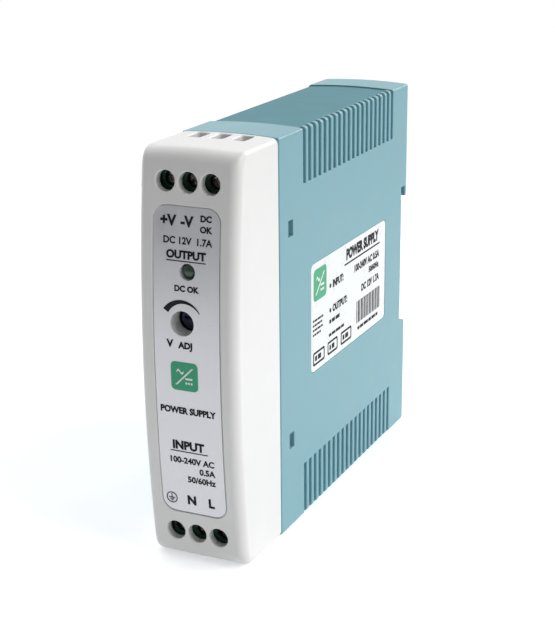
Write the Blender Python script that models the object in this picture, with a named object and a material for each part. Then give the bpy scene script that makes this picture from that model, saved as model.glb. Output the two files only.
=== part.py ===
"""DIN rail power supply, 22.5 mm wide, modelled as the pieces it comes apart into.

Sizes are in millimetres and are turned into metres where a mesh is made. X runs across the width,
Y runs from the front face (-Y) to the rail side (+Y) and Z runs up. The origin is at the middle of
the footprint. The casing's top and bottom halves mirror each other about MID_Z.
"""

import math

import bmesh
import bpy
from mathutils import Matrix, Vector

MM = 0.001

# Casing: driving dimensions
WIDTH = 22.5
HEIGHT = 90.0
DEPTH = 100.0
HALF_W = WIDTH / 2
MID_Z = HEIGHT / 2
FRONT_Y = -DEPTH / 2
REAR_Y = DEPTH / 2
WALL = 1.85
INNER_W = HALF_W - WALL
CLEARANCE = 0.3
SKIN_GAP = 0.1

# Front cover
COVER_DEPTH = 21.0
COVER_BOW = 3.2
COVER_CORNER = 4.2
HOLLOW_CORNER = 1.15
COVER_EDGE = 2.0
COVER_STEPS = 12

# Housing
HOUSING_FRONT = FRONT_Y + COVER_DEPTH + CLEARANCE
BAND_DEPTH = 0.4
BAND_START = FRONT_Y + 33.7
BAND_END = FRONT_Y + 88.3
GROOVES = 20
GROOVE_WIDTH = 1.4
GROOVE_DEPTH = 1.05
GROOVE_LENGTH = 12.5
GROOVE_PITCH = (BAND_END - BAND_START - GROOVE_WIDTH) / (GROOVES - 1)
RIB_LIP = 1.3
CAVITY_REAR = FRONT_Y + 93.6

# 35 mm rail recess in the rear face
RAIL_HEIGHT = 35.0
RECESS_DEPTH = 4.5
SEAT_Y = REAR_Y - RECESS_DEPTH
STEP_Z = 28.2
LIP_Z = 61.1
HOOK_TOP_Z = STEP_Z + RAIL_HEIGHT + 0.5
HOOK_DEPTH = 2.5
SEAT_BOTTOM, SEAT_TOP = 31.4, 60.9
SEAT_PAD = 0.2

# Snap hooks that hold the cover
HOOK_Z_OFFSET = 24.2
HOOK_HEIGHT = 3.6
HOOK_Y = FRONT_Y + 27.0
HOOK_LENGTH = 2.4

# Terminals
POLE_PITCH = 5.08
POLES = (-POLE_PITCH, 0.0, POLE_PITCH)
OUTPUT_NAMES = ("output_plus", "output_minus", "output_dc_ok")
INPUT_NAMES = ("input_earth", "input_neutral", "input_line")
SCREW_Z_OFFSET = 38.2
BLOCK_FRONT = FRONT_Y + 4.9
BLOCK_REAR = FRONT_Y + 20.6
SCREW_HEAD_Y = FRONT_Y + 5.8
SCREW_HEAD_R = 1.9
SCREW_SHANK_R = 1.35
SCREW_HEAD_LENGTH = 1.7
SCREW_TIP_Y = FRONT_Y + 12.9
CAGE_FRONT = FRONT_Y + 10.8
CAGE_REAR = FRONT_Y + 18.4
TAB_Y = FRONT_Y + 13.2

# Boards
BOARD = 1.6
FRONT_BOARD_Y = FRONT_Y + 21.6
MAIN_BOARD_X = -8.0
MAIN_TOP_X = MAIN_BOARD_X + BOARD
PART_X = MAIN_TOP_X + CLEARANCE

# Front panel features
SCREW_HOLE_R = 2.15
LED_X, LED_Z = 0.25, 65.25
LED_HOLE_R = 1.75
TRIM_X, TRIM_Z = -1.0, 54.4
TRIM_HOLE_R = 2.65
TRIM_SLEEVE_R = 3.6
TRIM_SLEEVE_END = FRONT_Y + 4.0
LABEL_HALF_W = 7.45
LABEL_BOTTOM, LABEL_TOP = 11.8, 78.4
LABEL_CORNER = 2.8
LABEL_RECESS = 0.3
WIRE_FRONT, WIRE_REAR = FRONT_Y + 14.4, FRONT_Y + 19.9
WIRE_HALF_W = 1.55

# Side label
SIDE_LABEL_FRONT, SIDE_LABEL_REAR = FRONT_Y + 37.9, FRONT_Y + 84.1
SIDE_LABEL_BOTTOM, SIDE_LABEL_TOP = 32.8, 58.1

# Rail latch
LATCH_BACK = REAR_Y - 4.4
LATCH_HALF_W = 5.7
LATCH_FLANGE_HALF_W = 6.9
LATCH_FLANGE_DEPTH = 2.2
LATCH_BOTTOM = 0.5
LATCH_SHOULDER = 25.6
LATCH_NOSE = 31.0
WINDOW_HALF_W = 2.1
WINDOW_BOTTOM, WINDOW_TOP = 7.0, 20.0
LEDGE_BOTTOM, LEDGE_TOP = 7.4, 9.2

materials = {}


def material(name, colour, roughness, metallic=0.0):
    """Return the named Principled material, made on first use."""
    if name not in materials:
        made = bpy.data.materials.new(name)
        made.use_nodes = True
        shader = made.node_tree.nodes["Principled BSDF"]
        shader.inputs["Base Color"].default_value = (*colour, 1.0)
        shader.inputs["Roughness"].default_value = roughness
        shader.inputs["Metallic"].default_value = metallic
        materials[name] = made
    return materials[name]


def teal_plastic():
    return material("teal_plastic", (0.22, 0.46, 0.49), 0.5)


def white_plastic():
    return material("white_plastic", (0.83, 0.84, 0.84), 0.45)


def black_plastic():
    return material("black_plastic", (0.02, 0.02, 0.022), 0.5)


def steel():
    return material("zinc_plated_steel", (0.62, 0.62, 0.6), 0.35, 1.0)


def tinned_copper():
    return material("tinned_copper", (0.7, 0.68, 0.63), 0.35, 1.0)


def aluminium():
    return material("aluminium", (0.72, 0.73, 0.74), 0.4, 1.0)


def ferrite():
    return material("ferrite", (0.06, 0.06, 0.065), 0.6)


def board_laminate():
    return material("board_laminate", (0.05, 0.2, 0.09), 0.5)


def printed_film():
    return material("printed_film", (0.62, 0.63, 0.66), 0.5)


def link_mesh(name, bm, look):
    """Turn a bmesh in millimetres into an object in metres."""
    bmesh.ops.recalc_face_normals(bm, faces=bm.faces[:])
    bmesh.ops.scale(bm, vec=(MM, MM, MM), verts=bm.verts[:])
    mesh = bpy.data.meshes.new(name)
    bm.to_mesh(mesh)
    bm.free()
    mesh.materials.append(look)
    made = bpy.data.objects.new(name, mesh)
    bpy.context.collection.objects.link(made)
    return made


def round_shading(piece, angle=35):
    """Shade smooth, with edges over the angle kept sharp."""
    piece.data.shade_smooth()
    piece.data.set_sharp_from_angle(angle=math.radians(angle))
    return piece


def box(name, low, high, look, bevel=0.0, segments=1):
    """A box between two corners, with all its edges bevelled if asked."""
    bm = bmesh.new()
    bmesh.ops.create_cube(bm, size=1.0)
    size = Vector(high) - Vector(low)
    middle = (Vector(high) + Vector(low)) / 2
    bmesh.ops.scale(bm, vec=size, verts=bm.verts[:])
    bmesh.ops.translate(bm, vec=middle, verts=bm.verts[:])
    if bevel:
        bmesh.ops.bevel(bm, geom=bm.edges[:], offset=bevel, segments=segments, affect="EDGES", profile=0.5)
    return link_mesh(name, bm, look)


def boxes(name, corner_pairs, look):
    """Several boxes in one mesh, for a cutter or for pieces that are united later."""
    bm = bmesh.new()
    for low, high in corner_pairs:
        size = Vector(high) - Vector(low)
        middle = (Vector(high) + Vector(low)) / 2
        matrix = Matrix.Translation(middle) @ Matrix.Diagonal((*size, 1.0))
        bmesh.ops.create_cube(bm, size=1.0, matrix=matrix)
    return link_mesh(name, bm, look)


AXIS_FRAMES = {
    "X": (Vector((0, 1, 0)), Vector((0, 0, 1)), Vector((1, 0, 0))),
    "Y": (Vector((1, 0, 0)), Vector((0, 0, 1)), Vector((0, 1, 0))),
    "Z": (Vector((1, 0, 0)), Vector((0, 1, 0)), Vector((0, 0, 1))),
}


def prism_mesh(bm, outline, axis, start, end):
    """Add a prism: an outline in the plane across the axis, extruded from start to end."""
    across, up, along = AXIS_FRAMES[axis]
    near = [bm.verts.new(across * a + up * b + along * start) for a, b in outline]
    far = [bm.verts.new(across * a + up * b + along * end) for a, b in outline]
    bm.faces.new(near)
    bm.faces.new(far)
    count = len(outline)
    for i in range(count):
        j = (i + 1) % count
        bm.faces.new((near[i], near[j], far[j], far[i]))


def prism(name, outline, axis, start, end, look):
    bm = bmesh.new()
    prism_mesh(bm, outline, axis, start, end)
    return link_mesh(name, bm, look)


def circle(centre, radius, sides):
    """The corners of a regular polygon on a circle, with flats facing the axes."""
    turn = math.tau / sides
    return [
        (centre[0] + radius * math.cos(turn * (i + 0.5)), centre[1] + radius * math.sin(turn * (i + 0.5)))
        for i in range(sides)
    ]


def rods(name, centres, axis, radius, start, end, sides, look):
    """Round rods along one axis, one for each centre."""
    bm = bmesh.new()
    for centre in centres:
        prism_mesh(bm, circle(centre, radius, sides), axis, start, end)
    return link_mesh(name, bm, look)


def turned(name, centre, axis, profile, sides, look):
    """A solid of revolution: profile points are (distance along the axis, radius)."""
    across, up, along = AXIS_FRAMES[axis]
    middle = across * centre[0] + up * centre[1]
    bm = bmesh.new()
    rings = []
    for distance, radius in profile:
        rings.append([
            bm.verts.new(middle + across * a + up * b + along * distance)
            for a, b in circle((0, 0), radius, sides)
        ])
    bm.faces.new(rings[0])
    bm.faces.new(rings[-1])
    for ring, following in zip(rings, rings[1:]):
        for i in range(sides):
            j = (i + 1) % sides
            bm.faces.new((ring[i], ring[j], following[j], following[i]))
    return round_shading(link_mesh(name, bm, look))


def swept_loop(bm, sections, closed):
    """Skin matching loops of points, joined end to end if closed and capped if not."""
    rings = [[bm.verts.new(point) for point in section] for section in sections]
    size = len(rings[0])
    pairs = list(zip(rings, rings[1:]))
    if closed:
        pairs.append((rings[-1], rings[0]))
    else:
        bm.faces.new(rings[0])
        bm.faces.new(rings[-1])
    for ring, following in pairs:
        for i in range(size):
            j = (i + 1) % size
            bm.faces.new((ring[i], ring[j], following[j], following[i]))


def tool(piece):
    """Mark an object as a cutter or a guide, which is not part of the supply."""
    piece.hide_render = True
    piece.display_type = "WIRE"
    return piece


def combine(piece, other, operation):
    modifier = piece.modifiers.new(other.name, "BOOLEAN")
    modifier.operation = operation
    modifier.solver = "EXACT"
    modifier.object = tool(other)
    return piece


def cut(piece, cutter):
    return combine(piece, cutter, "DIFFERENCE")


def unite(piece, other):
    return combine(piece, other, "UNION")


def put_origin(piece, point):
    """Move an object's origin to a point given in millimetres, leaving its shape where it is."""
    place = Vector(point) * MM
    piece.data.transform(Matrix.Translation(-place))
    piece.location = place
    return piece


def finished_mesh(piece):
    """The mesh of an object with its modifiers carried out, in the object's own frame."""
    graph = bpy.context.evaluated_depsgraph_get()
    return bpy.data.meshes.new_from_object(piece.evaluated_get(graph))


def copy_piece(name, mesh, location, half_turn=False):
    """Place another object with a finished mesh, turned half round the Y axis if asked."""
    made = bpy.data.objects.new(name, mesh)
    made.location = Vector(location) * MM
    if half_turn:
        made.rotation_euler = (0.0, math.pi, 0.0)
    bpy.context.collection.objects.link(made)
    return made


def mirrored_z(low, high):
    """The same height span in the casing's other half."""
    return HEIGHT - high, HEIGHT - low


def front_face_y(z):
    """Y of the cover's bowed front face at height z."""
    return FRONT_Y + COVER_BOW * ((z - MID_Z) / MID_Z) ** 2


def cover_outline(inset, corner):
    """Side view of the cover as (y, z) points: bowed front, rounded corners, open at the rear."""
    low, high = inset, HEIGHT - inset
    rear = FRONT_Y + COVER_DEPTH
    points = [(rear, low)]
    for step in range(4):
        angle = math.radians(90 * step / 3)
        z = low + corner * (1 - math.cos(angle))
        points.append((front_face_y(low + corner) + inset + corner * (1 - math.sin(angle)), z))
    for step in range(1, COVER_STEPS):
        z = low + corner + (high - low - 2 * corner) * step / COVER_STEPS
        points.append((front_face_y(z) + inset, z))
    upper = [(y, HEIGHT - z) for y, z in points[:5]]
    return points + upper[::-1]


def arc_plate(name, half_w, low, high, corner, front, back, look):
    """A plate with rounded corners that follows the cover's bow, between two distances behind it."""
    levels = [(low + corner * (1 - math.cos(a)), half_w - corner * (1 - math.sin(a)))
              for a in (math.radians(90 * i / 4) for i in range(5))]
    upper = [(low + high - z, w) for z, w in levels[::-1]]
    straight = [(z, half_w) for z in
                (low + corner + (high - low - 2 * corner) * i / COVER_STEPS for i in range(1, COVER_STEPS))]
    bm = bmesh.new()
    sections = []
    for z, w in levels + straight + upper:
        y = front_face_y(z)
        sections.append([(-w, y + front, z), (w, y + front, z), (w, y + back, z), (-w, y + back, z)])
    swept_loop(bm, sections, closed=False)
    return link_mesh(name, bm, look)


def make_cover():
    """White front cover: a shell with terminal openings, a label recess and four snap hooks."""
    rear = FRONT_Y + COVER_DEPTH
    half = []
    for step in range(4):
        angle = math.radians(90 * step / 3)
        half.append((HALF_W - COVER_EDGE * (1 - math.cos(angle)), COVER_EDGE * (1 - math.sin(angle))))
    stations = [(-x, inset) for x, inset in half] + half[::-1]
    bm = bmesh.new()
    sections = []
    for x, inset in stations:
        sections.append([(x, y, z) for y, z in cover_outline(inset, COVER_CORNER - inset)])
    swept_loop(bm, sections, closed=False)
    cover = link_mesh("front_cover", bm, white_plastic())

    bm = bmesh.new()
    inner = [(y if y < rear else rear + 1.0, z) for y, z in cover_outline(WALL, HOLLOW_CORNER)]
    prism_mesh(bm, inner, "X", -INNER_W, INNER_W)
    cut(cover, link_mesh("cover_hollow", bm, white_plastic()))

    recess_bottom, recess_top = LABEL_BOTTOM - SKIN_GAP, LABEL_TOP + SKIN_GAP
    cut(cover, arc_plate("label_recess", LABEL_HALF_W + SKIN_GAP, recess_bottom, recess_top, LABEL_CORNER,
                         -2.0, LABEL_RECESS, white_plastic()))
    screw_centres = [(x, z) for z in (MID_Z - SCREW_Z_OFFSET, MID_Z + SCREW_Z_OFFSET) for x in POLES]
    led, trimmer = [(LED_X, LED_Z)], [(TRIM_X, TRIM_Z)]
    unite(cover, rods("trim_sleeve", trimmer, "Y", TRIM_SLEEVE_R, FRONT_Y + 1.0, TRIM_SLEEVE_END, 20,
                      white_plastic()))
    for name, centres, radius in (("screw_openings", screw_centres, SCREW_HOLE_R),
                                  ("led_opening", led, LED_HOLE_R),
                                  ("trim_opening", trimmer, TRIM_HOLE_R)):
        cut(cover, rods(name, centres, "Y", radius, FRONT_Y - 1, BLOCK_FRONT, 16, white_plastic()))
    entries = []
    for x in POLES:
        for low, high in ((HEIGHT - WALL - 1, HEIGHT + 1), mirrored_z(HEIGHT - WALL - 1, HEIGHT + 1)):
            entries.append(((x - WIRE_HALF_W, WIRE_FRONT, low), (x + WIRE_HALF_W, WIRE_REAR, high)))
    cut(cover, boxes("wire_openings", entries, white_plastic()))

    hooks = []
    for side in (-1, 1):
        for middle in (MID_Z - HOOK_Z_OFFSET, MID_Z + HOOK_Z_OFFSET):
            hooks.append(hook_outline(side, middle))
    for number, (outline, low, high) in enumerate(hooks):
        unite(cover, prism(f"snap_hook_{number}", outline, "Z", low, high, white_plastic()))
    return cover


def hook_outline(side, middle):
    """A snap hook as an (x, y) outline and its height span: a tongue with a barb near its end."""
    root_y = FRONT_Y + COVER_DEPTH - 3.0
    barb_start, barb_end = HOOK_Y - 0.9, HOOK_Y + 0.9
    inside = INNER_W - 1.3
    slide = INNER_W - CLEARANCE
    in_wall, root_end = INNER_W + 0.5, root_y + 2.6
    root = [(inside, root_y), (in_wall, root_y), (in_wall, root_end), (slide, root_end)]
    barb = [(slide, barb_start), (slide + 1.2, barb_start), (slide, barb_end)]
    tip = [(slide - 0.4, barb_end + 1.5), (inside, barb_end + 1.5)]
    points = root + barb + tip
    outline = [(side * x, y) for x, y in points]
    half = HOOK_HEIGHT / 2 - CLEARANCE
    return outline, middle - half, middle + half


def make_housing():
    """Teal housing: a sleeve closed at the rear, with vent ribs, the rail recess and the latch channel."""
    bm = bmesh.new()
    bmesh.ops.create_cube(bm, size=1.0)
    low, high = Vector((-HALF_W, HOUSING_FRONT, 0.0)), Vector((HALF_W, REAR_Y, HEIGHT))
    bmesh.ops.scale(bm, vec=high - low, verts=bm.verts[:])
    bmesh.ops.translate(bm, vec=(high + low) / 2, verts=bm.verts[:])
    uprights = [e for e in bm.edges if all(v.co.y > 0 for v in e.verts)
                and abs(e.verts[0].co.z - e.verts[1].co.z) > MID_Z]
    bmesh.ops.bevel(bm, geom=uprights, offset=1.6, segments=3, affect="EDGES", profile=0.5)
    rims = [e for e in bm.edges
            if abs(e.verts[0].co.z - e.verts[1].co.z) < SKIN_GAP
            and max(v.co.y for v in e.verts) > HOUSING_FRONT + SKIN_GAP]
    bmesh.ops.bevel(bm, geom=rims, offset=0.6, segments=1, affect="EDGES", profile=0.5)
    housing = link_mesh("housing_shell", bm, teal_plastic())

    cavity_low, cavity_high = 2.8, HEIGHT - 2.8
    open_end, deep_end, over_hook = HOUSING_FRONT - 1, REAR_Y - WALL, HOOK_TOP_Z + WALL
    cavity = [(open_end, cavity_low), (open_end, cavity_high), (deep_end, cavity_high),
              (deep_end, over_hook), (CAVITY_REAR, over_hook), (CAVITY_REAR, cavity_low)]
    cut(housing, prism("housing_hollow", cavity, "X", -INNER_W, INNER_W, teal_plastic()))
    cut(housing, rail_recess())
    cut(housing, vent_bands())
    cut(housing, vent_grooves())
    add_latch_channel(housing)

    windows = []
    for side in (-1, 1):
        for middle in (MID_Z - HOOK_Z_OFFSET, MID_Z + HOOK_Z_OFFSET):
            inside, outside = sorted((side * (INNER_W - 0.5), side * (HALF_W + 1)))
            windows.append(((inside, HOOK_Y - HOOK_LENGTH / 2, middle - HOOK_HEIGHT / 2),
                            (outside, HOOK_Y + HOOK_LENGTH / 2, middle + HOOK_HEIGHT / 2)))
    cut(housing, boxes("snap_windows", windows, teal_plastic()))
    low, high = side_label_corners(SKIN_GAP)
    cut(housing, box("side_label_recess", (HALF_W - 0.25, *low), (HALF_W + 1, *high), teal_plastic()))
    return housing


def rail_recess():
    """The rail's space: a pocket across the width, with a raised seat and a hook lip at the top."""
    beyond = REAR_Y + 1
    floor = SEAT_Y - SEAT_PAD
    hook_rear = SEAT_Y + HOOK_DEPTH
    step = [(floor, STEP_Z + 0.7), (REAR_Y - 0.3, STEP_Z - 0.7), (beyond, STEP_Z - 0.9)]
    hook = [(beyond, LIP_Z), (hook_rear, LIP_Z), (hook_rear, HOOK_TOP_Z), (floor, HOOK_TOP_Z)]
    seat = [(floor, SEAT_TOP), (SEAT_Y, SEAT_TOP), (SEAT_Y, SEAT_BOTTOM), (floor, SEAT_BOTTOM)]
    outline = step + hook + seat
    return prism("rail_recess", outline, "X", -HALF_W - 1, HALF_W + 1, teal_plastic())


def vent_bands():
    """Shallow recesses in the top and the bottom, from the ribs' tips out through the left edge."""
    left, lip = -HALF_W - 1, HALF_W - RIB_LIP
    low, high = BAND_START + CLEARANCE, BAND_END - CLEARANCE
    spans = ((HEIGHT - BAND_DEPTH, HEIGHT + 1), mirrored_z(HEIGHT - BAND_DEPTH, HEIGHT + 1))
    return boxes("vent_bands", [((left, low, z0), (lip, high, z1)) for z0, z1 in spans], teal_plastic())


def vent_grooves():
    """Grooves down the right side that run over the casing's edges into the bands, leaving ribs."""
    floor_x, beyond = HALF_W - GROOVE_DEPTH, HALF_W + 1
    inner_end = HALF_W - RIB_LIP - 0.6
    floor_z, end_z, above = HEIGHT - BAND_DEPTH - 0.1, HEIGHT - GROOVE_LENGTH, HEIGHT + 1
    corner = [(floor_x, end_z), (beyond, end_z), (beyond, above), (inner_end, above), (inner_end, floor_z),
              (floor_x, floor_z)]
    bm = bmesh.new()
    for half in (-1, 1):
        outline = [(x, MID_Z + half * (z - MID_Z)) for x, z in corner]
        for i in range(GROOVES):
            start = BAND_START + i * GROOVE_PITCH
            prism_mesh(bm, outline, "Y", start, start + GROOVE_WIDTH)
    return link_mesh("vent_grooves", bm, teal_plastic())


def add_latch_channel(housing):
    """T-shaped channel for the latch, with the spring's ledge standing in it."""
    flange_half = LATCH_FLANGE_HALF_W + CLEARANCE
    neck_half = LATCH_HALF_W + CLEARANCE
    channel_back = LATCH_BACK - CLEARANCE
    flange_rear = LATCH_BACK + LATCH_FLANGE_DEPTH + CLEARANCE
    shoulder = LATCH_SHOULDER + CLEARANCE
    outline = t_outline(flange_half, neck_half, channel_back, flange_rear, REAR_Y + 1)
    cut(housing, prism("latch_channel", outline, "Z", -1.0, shoulder, teal_plastic()))
    nose_half = neck_half - 0.1
    cut(housing, box("latch_neck_slot", (-nose_half, SEAT_Y + 1.2, shoulder - 1),
                     (nose_half, REAR_Y + 1.5, STEP_Z + 3), teal_plastic()))
    ledge_half, ledge_rear = 1.5, LATCH_BACK + 2.0
    unite(housing, box("spring_ledge", (-ledge_half, channel_back - 0.5, LEDGE_BOTTOM),
                       (ledge_half, ledge_rear, LEDGE_TOP), teal_plastic()))


def t_outline(flange_half, neck_half, front, flange_rear, rear):
    """A T lying on its side as (x, y) points: a wide flange in front of a narrower neck."""
    right = [(flange_half, front), (flange_half, flange_rear), (neck_half, flange_rear), (neck_half, rear)]
    left = [(-x, y) for x, y in right[::-1]]
    return right + left


def side_label_corners(margin):
    """The side label's (y, z) corners, grown by a margin."""
    low = (SIDE_LABEL_FRONT - margin, SIDE_LABEL_BOTTOM - margin)
    high = (SIDE_LABEL_REAR + margin, SIDE_LABEL_TOP + margin)
    return low, high


def make_labels():
    label = arc_plate("front_label", LABEL_HALF_W, LABEL_BOTTOM, LABEL_TOP, LABEL_CORNER, SKIN_GAP / 2,
                      LABEL_RECESS - SKIN_GAP, printed_film())
    for name, centre, radius in (("label_led_hole", (LED_X, LED_Z), LED_HOLE_R),
                                 ("label_trim_hole", (TRIM_X, TRIM_Z), TRIM_HOLE_R)):
        cut(label, rods(name, [centre], "Y", radius, FRONT_Y - 1, FRONT_Y + 3, 16, printed_film()))
    low, high = side_label_corners(0.0)
    film = material("side_film", (0.8, 0.8, 0.8), 0.5)
    box("side_label", (HALF_W - 0.17, *low), (HALF_W - 0.05, *high), film)


def make_latch():
    """Rail latch: a T-shaped slider with a nose that holds the rail's lower edge, and its spring."""
    flange_rear, rear = LATCH_BACK + LATCH_FLANGE_DEPTH, REAR_Y - 0.3
    outline = t_outline(LATCH_FLANGE_HALF_W, LATCH_HALF_W, LATCH_BACK, flange_rear, rear)
    latch = prism("din_latch", outline, "Z", LATCH_BOTTOM, LATCH_SHOULDER, black_plastic())
    nose_front = SEAT_Y + 1.5
    nose = [(nose_front, LATCH_SHOULDER - 3), (nose_front, LATCH_NOSE), (nose_front + 0.6, LATCH_NOSE),
            (rear, STEP_Z - 0.4), (rear, LATCH_SHOULDER - 3)]
    unite(latch, prism("latch_nose", nose, "X", -LATCH_HALF_W + 0.2, LATCH_HALF_W - 0.2, black_plastic()))
    cut(latch, box("latch_window", (-WINDOW_HALF_W, LATCH_BACK - 1, WINDOW_BOTTOM),
                   (WINDOW_HALF_W, REAR_Y - 1.6, WINDOW_TOP), black_plastic()))
    cut(latch, box("screwdriver_slot", (-2.6, REAR_Y - 2.4, -1), (2.6, REAR_Y - 1.2, 4.0), black_plastic()))
    put_origin(latch, (0, LATCH_BACK, LATCH_SHOULDER))
    make_latch_spring()


def make_latch_spring():
    """Coil spring between the housing's ledge and the top of the latch's window."""
    low, high = LEDGE_TOP + CLEARANCE, WINDOW_TOP - CLEARANCE
    wire, coil, turns, steps, sides = 0.25, 1.05, 5, 10, 5
    axis_y = LATCH_BACK + 1.15
    pitch = (high - low - 2 * wire) / turns
    sections = []
    for i in range(turns * steps + 1):
        angle = math.tau * i / steps
        outward = Vector((math.cos(angle), math.sin(angle), 0.0))
        centre = Vector((0.0, axis_y, low + wire + pitch * i / steps)) + outward * coil
        sections.append([
            centre + outward * wire * math.cos(math.tau * k / sides)
            + Vector((0.0, 0.0, wire * math.sin(math.tau * k / sides)))
            for k in range(sides)
        ])
    bm = bmesh.new()
    swept_loop(bm, sections, closed=False)
    round_shading(link_mesh("latch_spring", bm, steel()))


def make_terminal_block():
    """Three-pole terminal block, modelled as the upper one. Its origin is at the casing's middle."""
    axis_z = MID_Z + SCREW_Z_OFFSET
    low, high = axis_z - 6.4, HEIGHT - WALL - CLEARANCE
    look = material("terminal_green", (0.015, 0.05, 0.03), 0.5)
    block_half, driver_hole_r, pocket_half_w, pocket_half_z = 7.6, 1.65, 2.3, 2.8
    block = box("output_terminal_block", (-block_half, BLOCK_FRONT, low), (block_half, BLOCK_REAR, high),
                look, bevel=0.8)
    driver_centres = [(x, axis_z) for x in POLES]
    cut(block, rods("driver_holes", driver_centres, "Y", driver_hole_r, BLOCK_FRONT - 1, SCREW_HEAD_Y, 12,
                    look))
    pockets, entries, tab_slots, pin_slots = [], [], [], []
    for x in POLES:
        pockets.append(((x - pocket_half_w, SCREW_HEAD_Y - 0.2, axis_z - pocket_half_z),
                        (x + pocket_half_w, CAGE_REAR + 0.5, axis_z + pocket_half_z)))
        entries.append(((x - 1.7, TAB_Y - 0.2, axis_z + 2.6), (x + 1.7, CAGE_REAR, high + 1)))
        tab_slots.append(((x - 1.6, TAB_Y - 0.15, axis_z - 4.8), (x + 1.6, TAB_Y + 0.75, axis_z - 2.6)))
        pin_slots.append(((x - 0.7, TAB_Y + 0.6, axis_z - 4.8), (x + 0.7, BLOCK_REAR + 1, axis_z - 3.6)))
    for name, cutters in (("cage_pockets", pockets), ("wire_funnels", entries), ("tab_slots", tab_slots),
                          ("pin_slots", pin_slots)):
        cut(block, boxes(name, cutters, look))
    mesh = finished_mesh(block)
    bpy.data.objects.remove(block)
    mesh.transform(Matrix.Translation((0.0, 0.0, -MID_Z * MM)))
    copy_piece("output_terminal_block", mesh, (0, 0, MID_Z))
    copy_piece("input_terminal_block", mesh, (0, 0, MID_Z), half_turn=True)


def make_contact_tabs():
    """Fixed contact plates with their solder pins, one to a pole."""
    axis_z = SCREW_Z_OFFSET
    tab_half_w, tab_thickness, pin_half, pin_width = 1.4, 0.6, 0.45, 0.8
    low, high = axis_z - 4.6, axis_z + 2.4
    tab = box("contact_tab", (-tab_half_w, TAB_Y, low), (tab_half_w, TAB_Y + tab_thickness, high),
              tinned_copper())
    pin_start, pin_end = TAB_Y + tab_thickness / 2, FRONT_BOARD_Y + BOARD + 1.0
    unite(tab, box("contact_pin", (-pin_half, pin_start, low), (pin_half, pin_end, low + pin_width),
                   tinned_copper()))
    mesh = finished_mesh(tab)
    bpy.data.objects.remove(tab)
    for name, x in zip(OUTPUT_NAMES, POLES):
        copy_piece(f"contact_{name}", mesh, (x, 0, MID_Z))
    for name, x in zip(INPUT_NAMES, POLES):
        copy_piece(f"contact_{name}", mesh, (x, 0, MID_Z), half_turn=True)


def poles_with_names():
    """(name, x, height of the screw axis) for each terminal, named by what it connects."""
    upper = [(name, x, MID_Z + SCREW_Z_OFFSET) for name, x in zip(OUTPUT_NAMES, POLES)]
    lower = [(name, x, MID_Z - SCREW_Z_OFFSET) for name, x in zip(INPUT_NAMES, POLES)]
    return upper + lower


def make_terminal_screws():
    """M3 clamp screws: a slotted head with a shorter cross slot, held by the block's front wall."""
    head_end = SCREW_HEAD_Y + SCREW_HEAD_LENGTH
    edge, point = 0.25, 0.4
    head = [(SCREW_HEAD_Y, SCREW_HEAD_R - edge), (SCREW_HEAD_Y + edge, SCREW_HEAD_R),
            (head_end, SCREW_HEAD_R)]
    shank = [(head_end, SCREW_SHANK_R), (SCREW_TIP_Y - point, SCREW_SHANK_R),
             (SCREW_TIP_Y, SCREW_SHANK_R - point)]
    screw = turned("terminal_screw", (0, 0), "Y", head + shank, 16, steel())
    slot, arm, reach = 0.3, 1.1, SCREW_HEAD_R + 0.3
    upper = [(reach, slot), (slot, slot), (slot, arm), (-slot, arm), (-slot, slot), (-reach, slot)]
    plus = upper + [(-x, -z) for x, z in upper]
    cut(screw, prism("driver_slot", plus, "Y", SCREW_HEAD_Y - 1, SCREW_HEAD_Y + 0.9, steel()))
    mesh = finished_mesh(screw)
    bpy.data.objects.remove(screw)
    for name, x, z in poles_with_names():
        copy_piece(f"screw_{name}", mesh, (x, 0, z))


def make_wire_cages():
    """Clamp cages: the screw turns in the thick front wall and the wire lies against the rear bar."""
    half_w, half_z = 2.15, 2.4
    cage = box("wire_cage", (-half_w, CAGE_FRONT, -half_z), (half_w, CAGE_REAR, half_z), steel())
    cut(cage, box("cage_opening", (-half_w + 0.5, CAGE_FRONT + 1.6, -half_z - 1),
                  (half_w - 0.5, CAGE_REAR - 0.8, half_z + 1), steel()))
    thread_r = SCREW_SHANK_R + 0.2
    cut(cage, rods("cage_thread", [(0, 0)], "Y", thread_r, CAGE_FRONT - 1, CAGE_FRONT + 2, 12, steel()))
    mesh = finished_mesh(cage)
    bpy.data.objects.remove(cage)
    for name, x, z in poles_with_names():
        copy_piece(f"cage_{name}", mesh, (x, 0, z))


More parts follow.
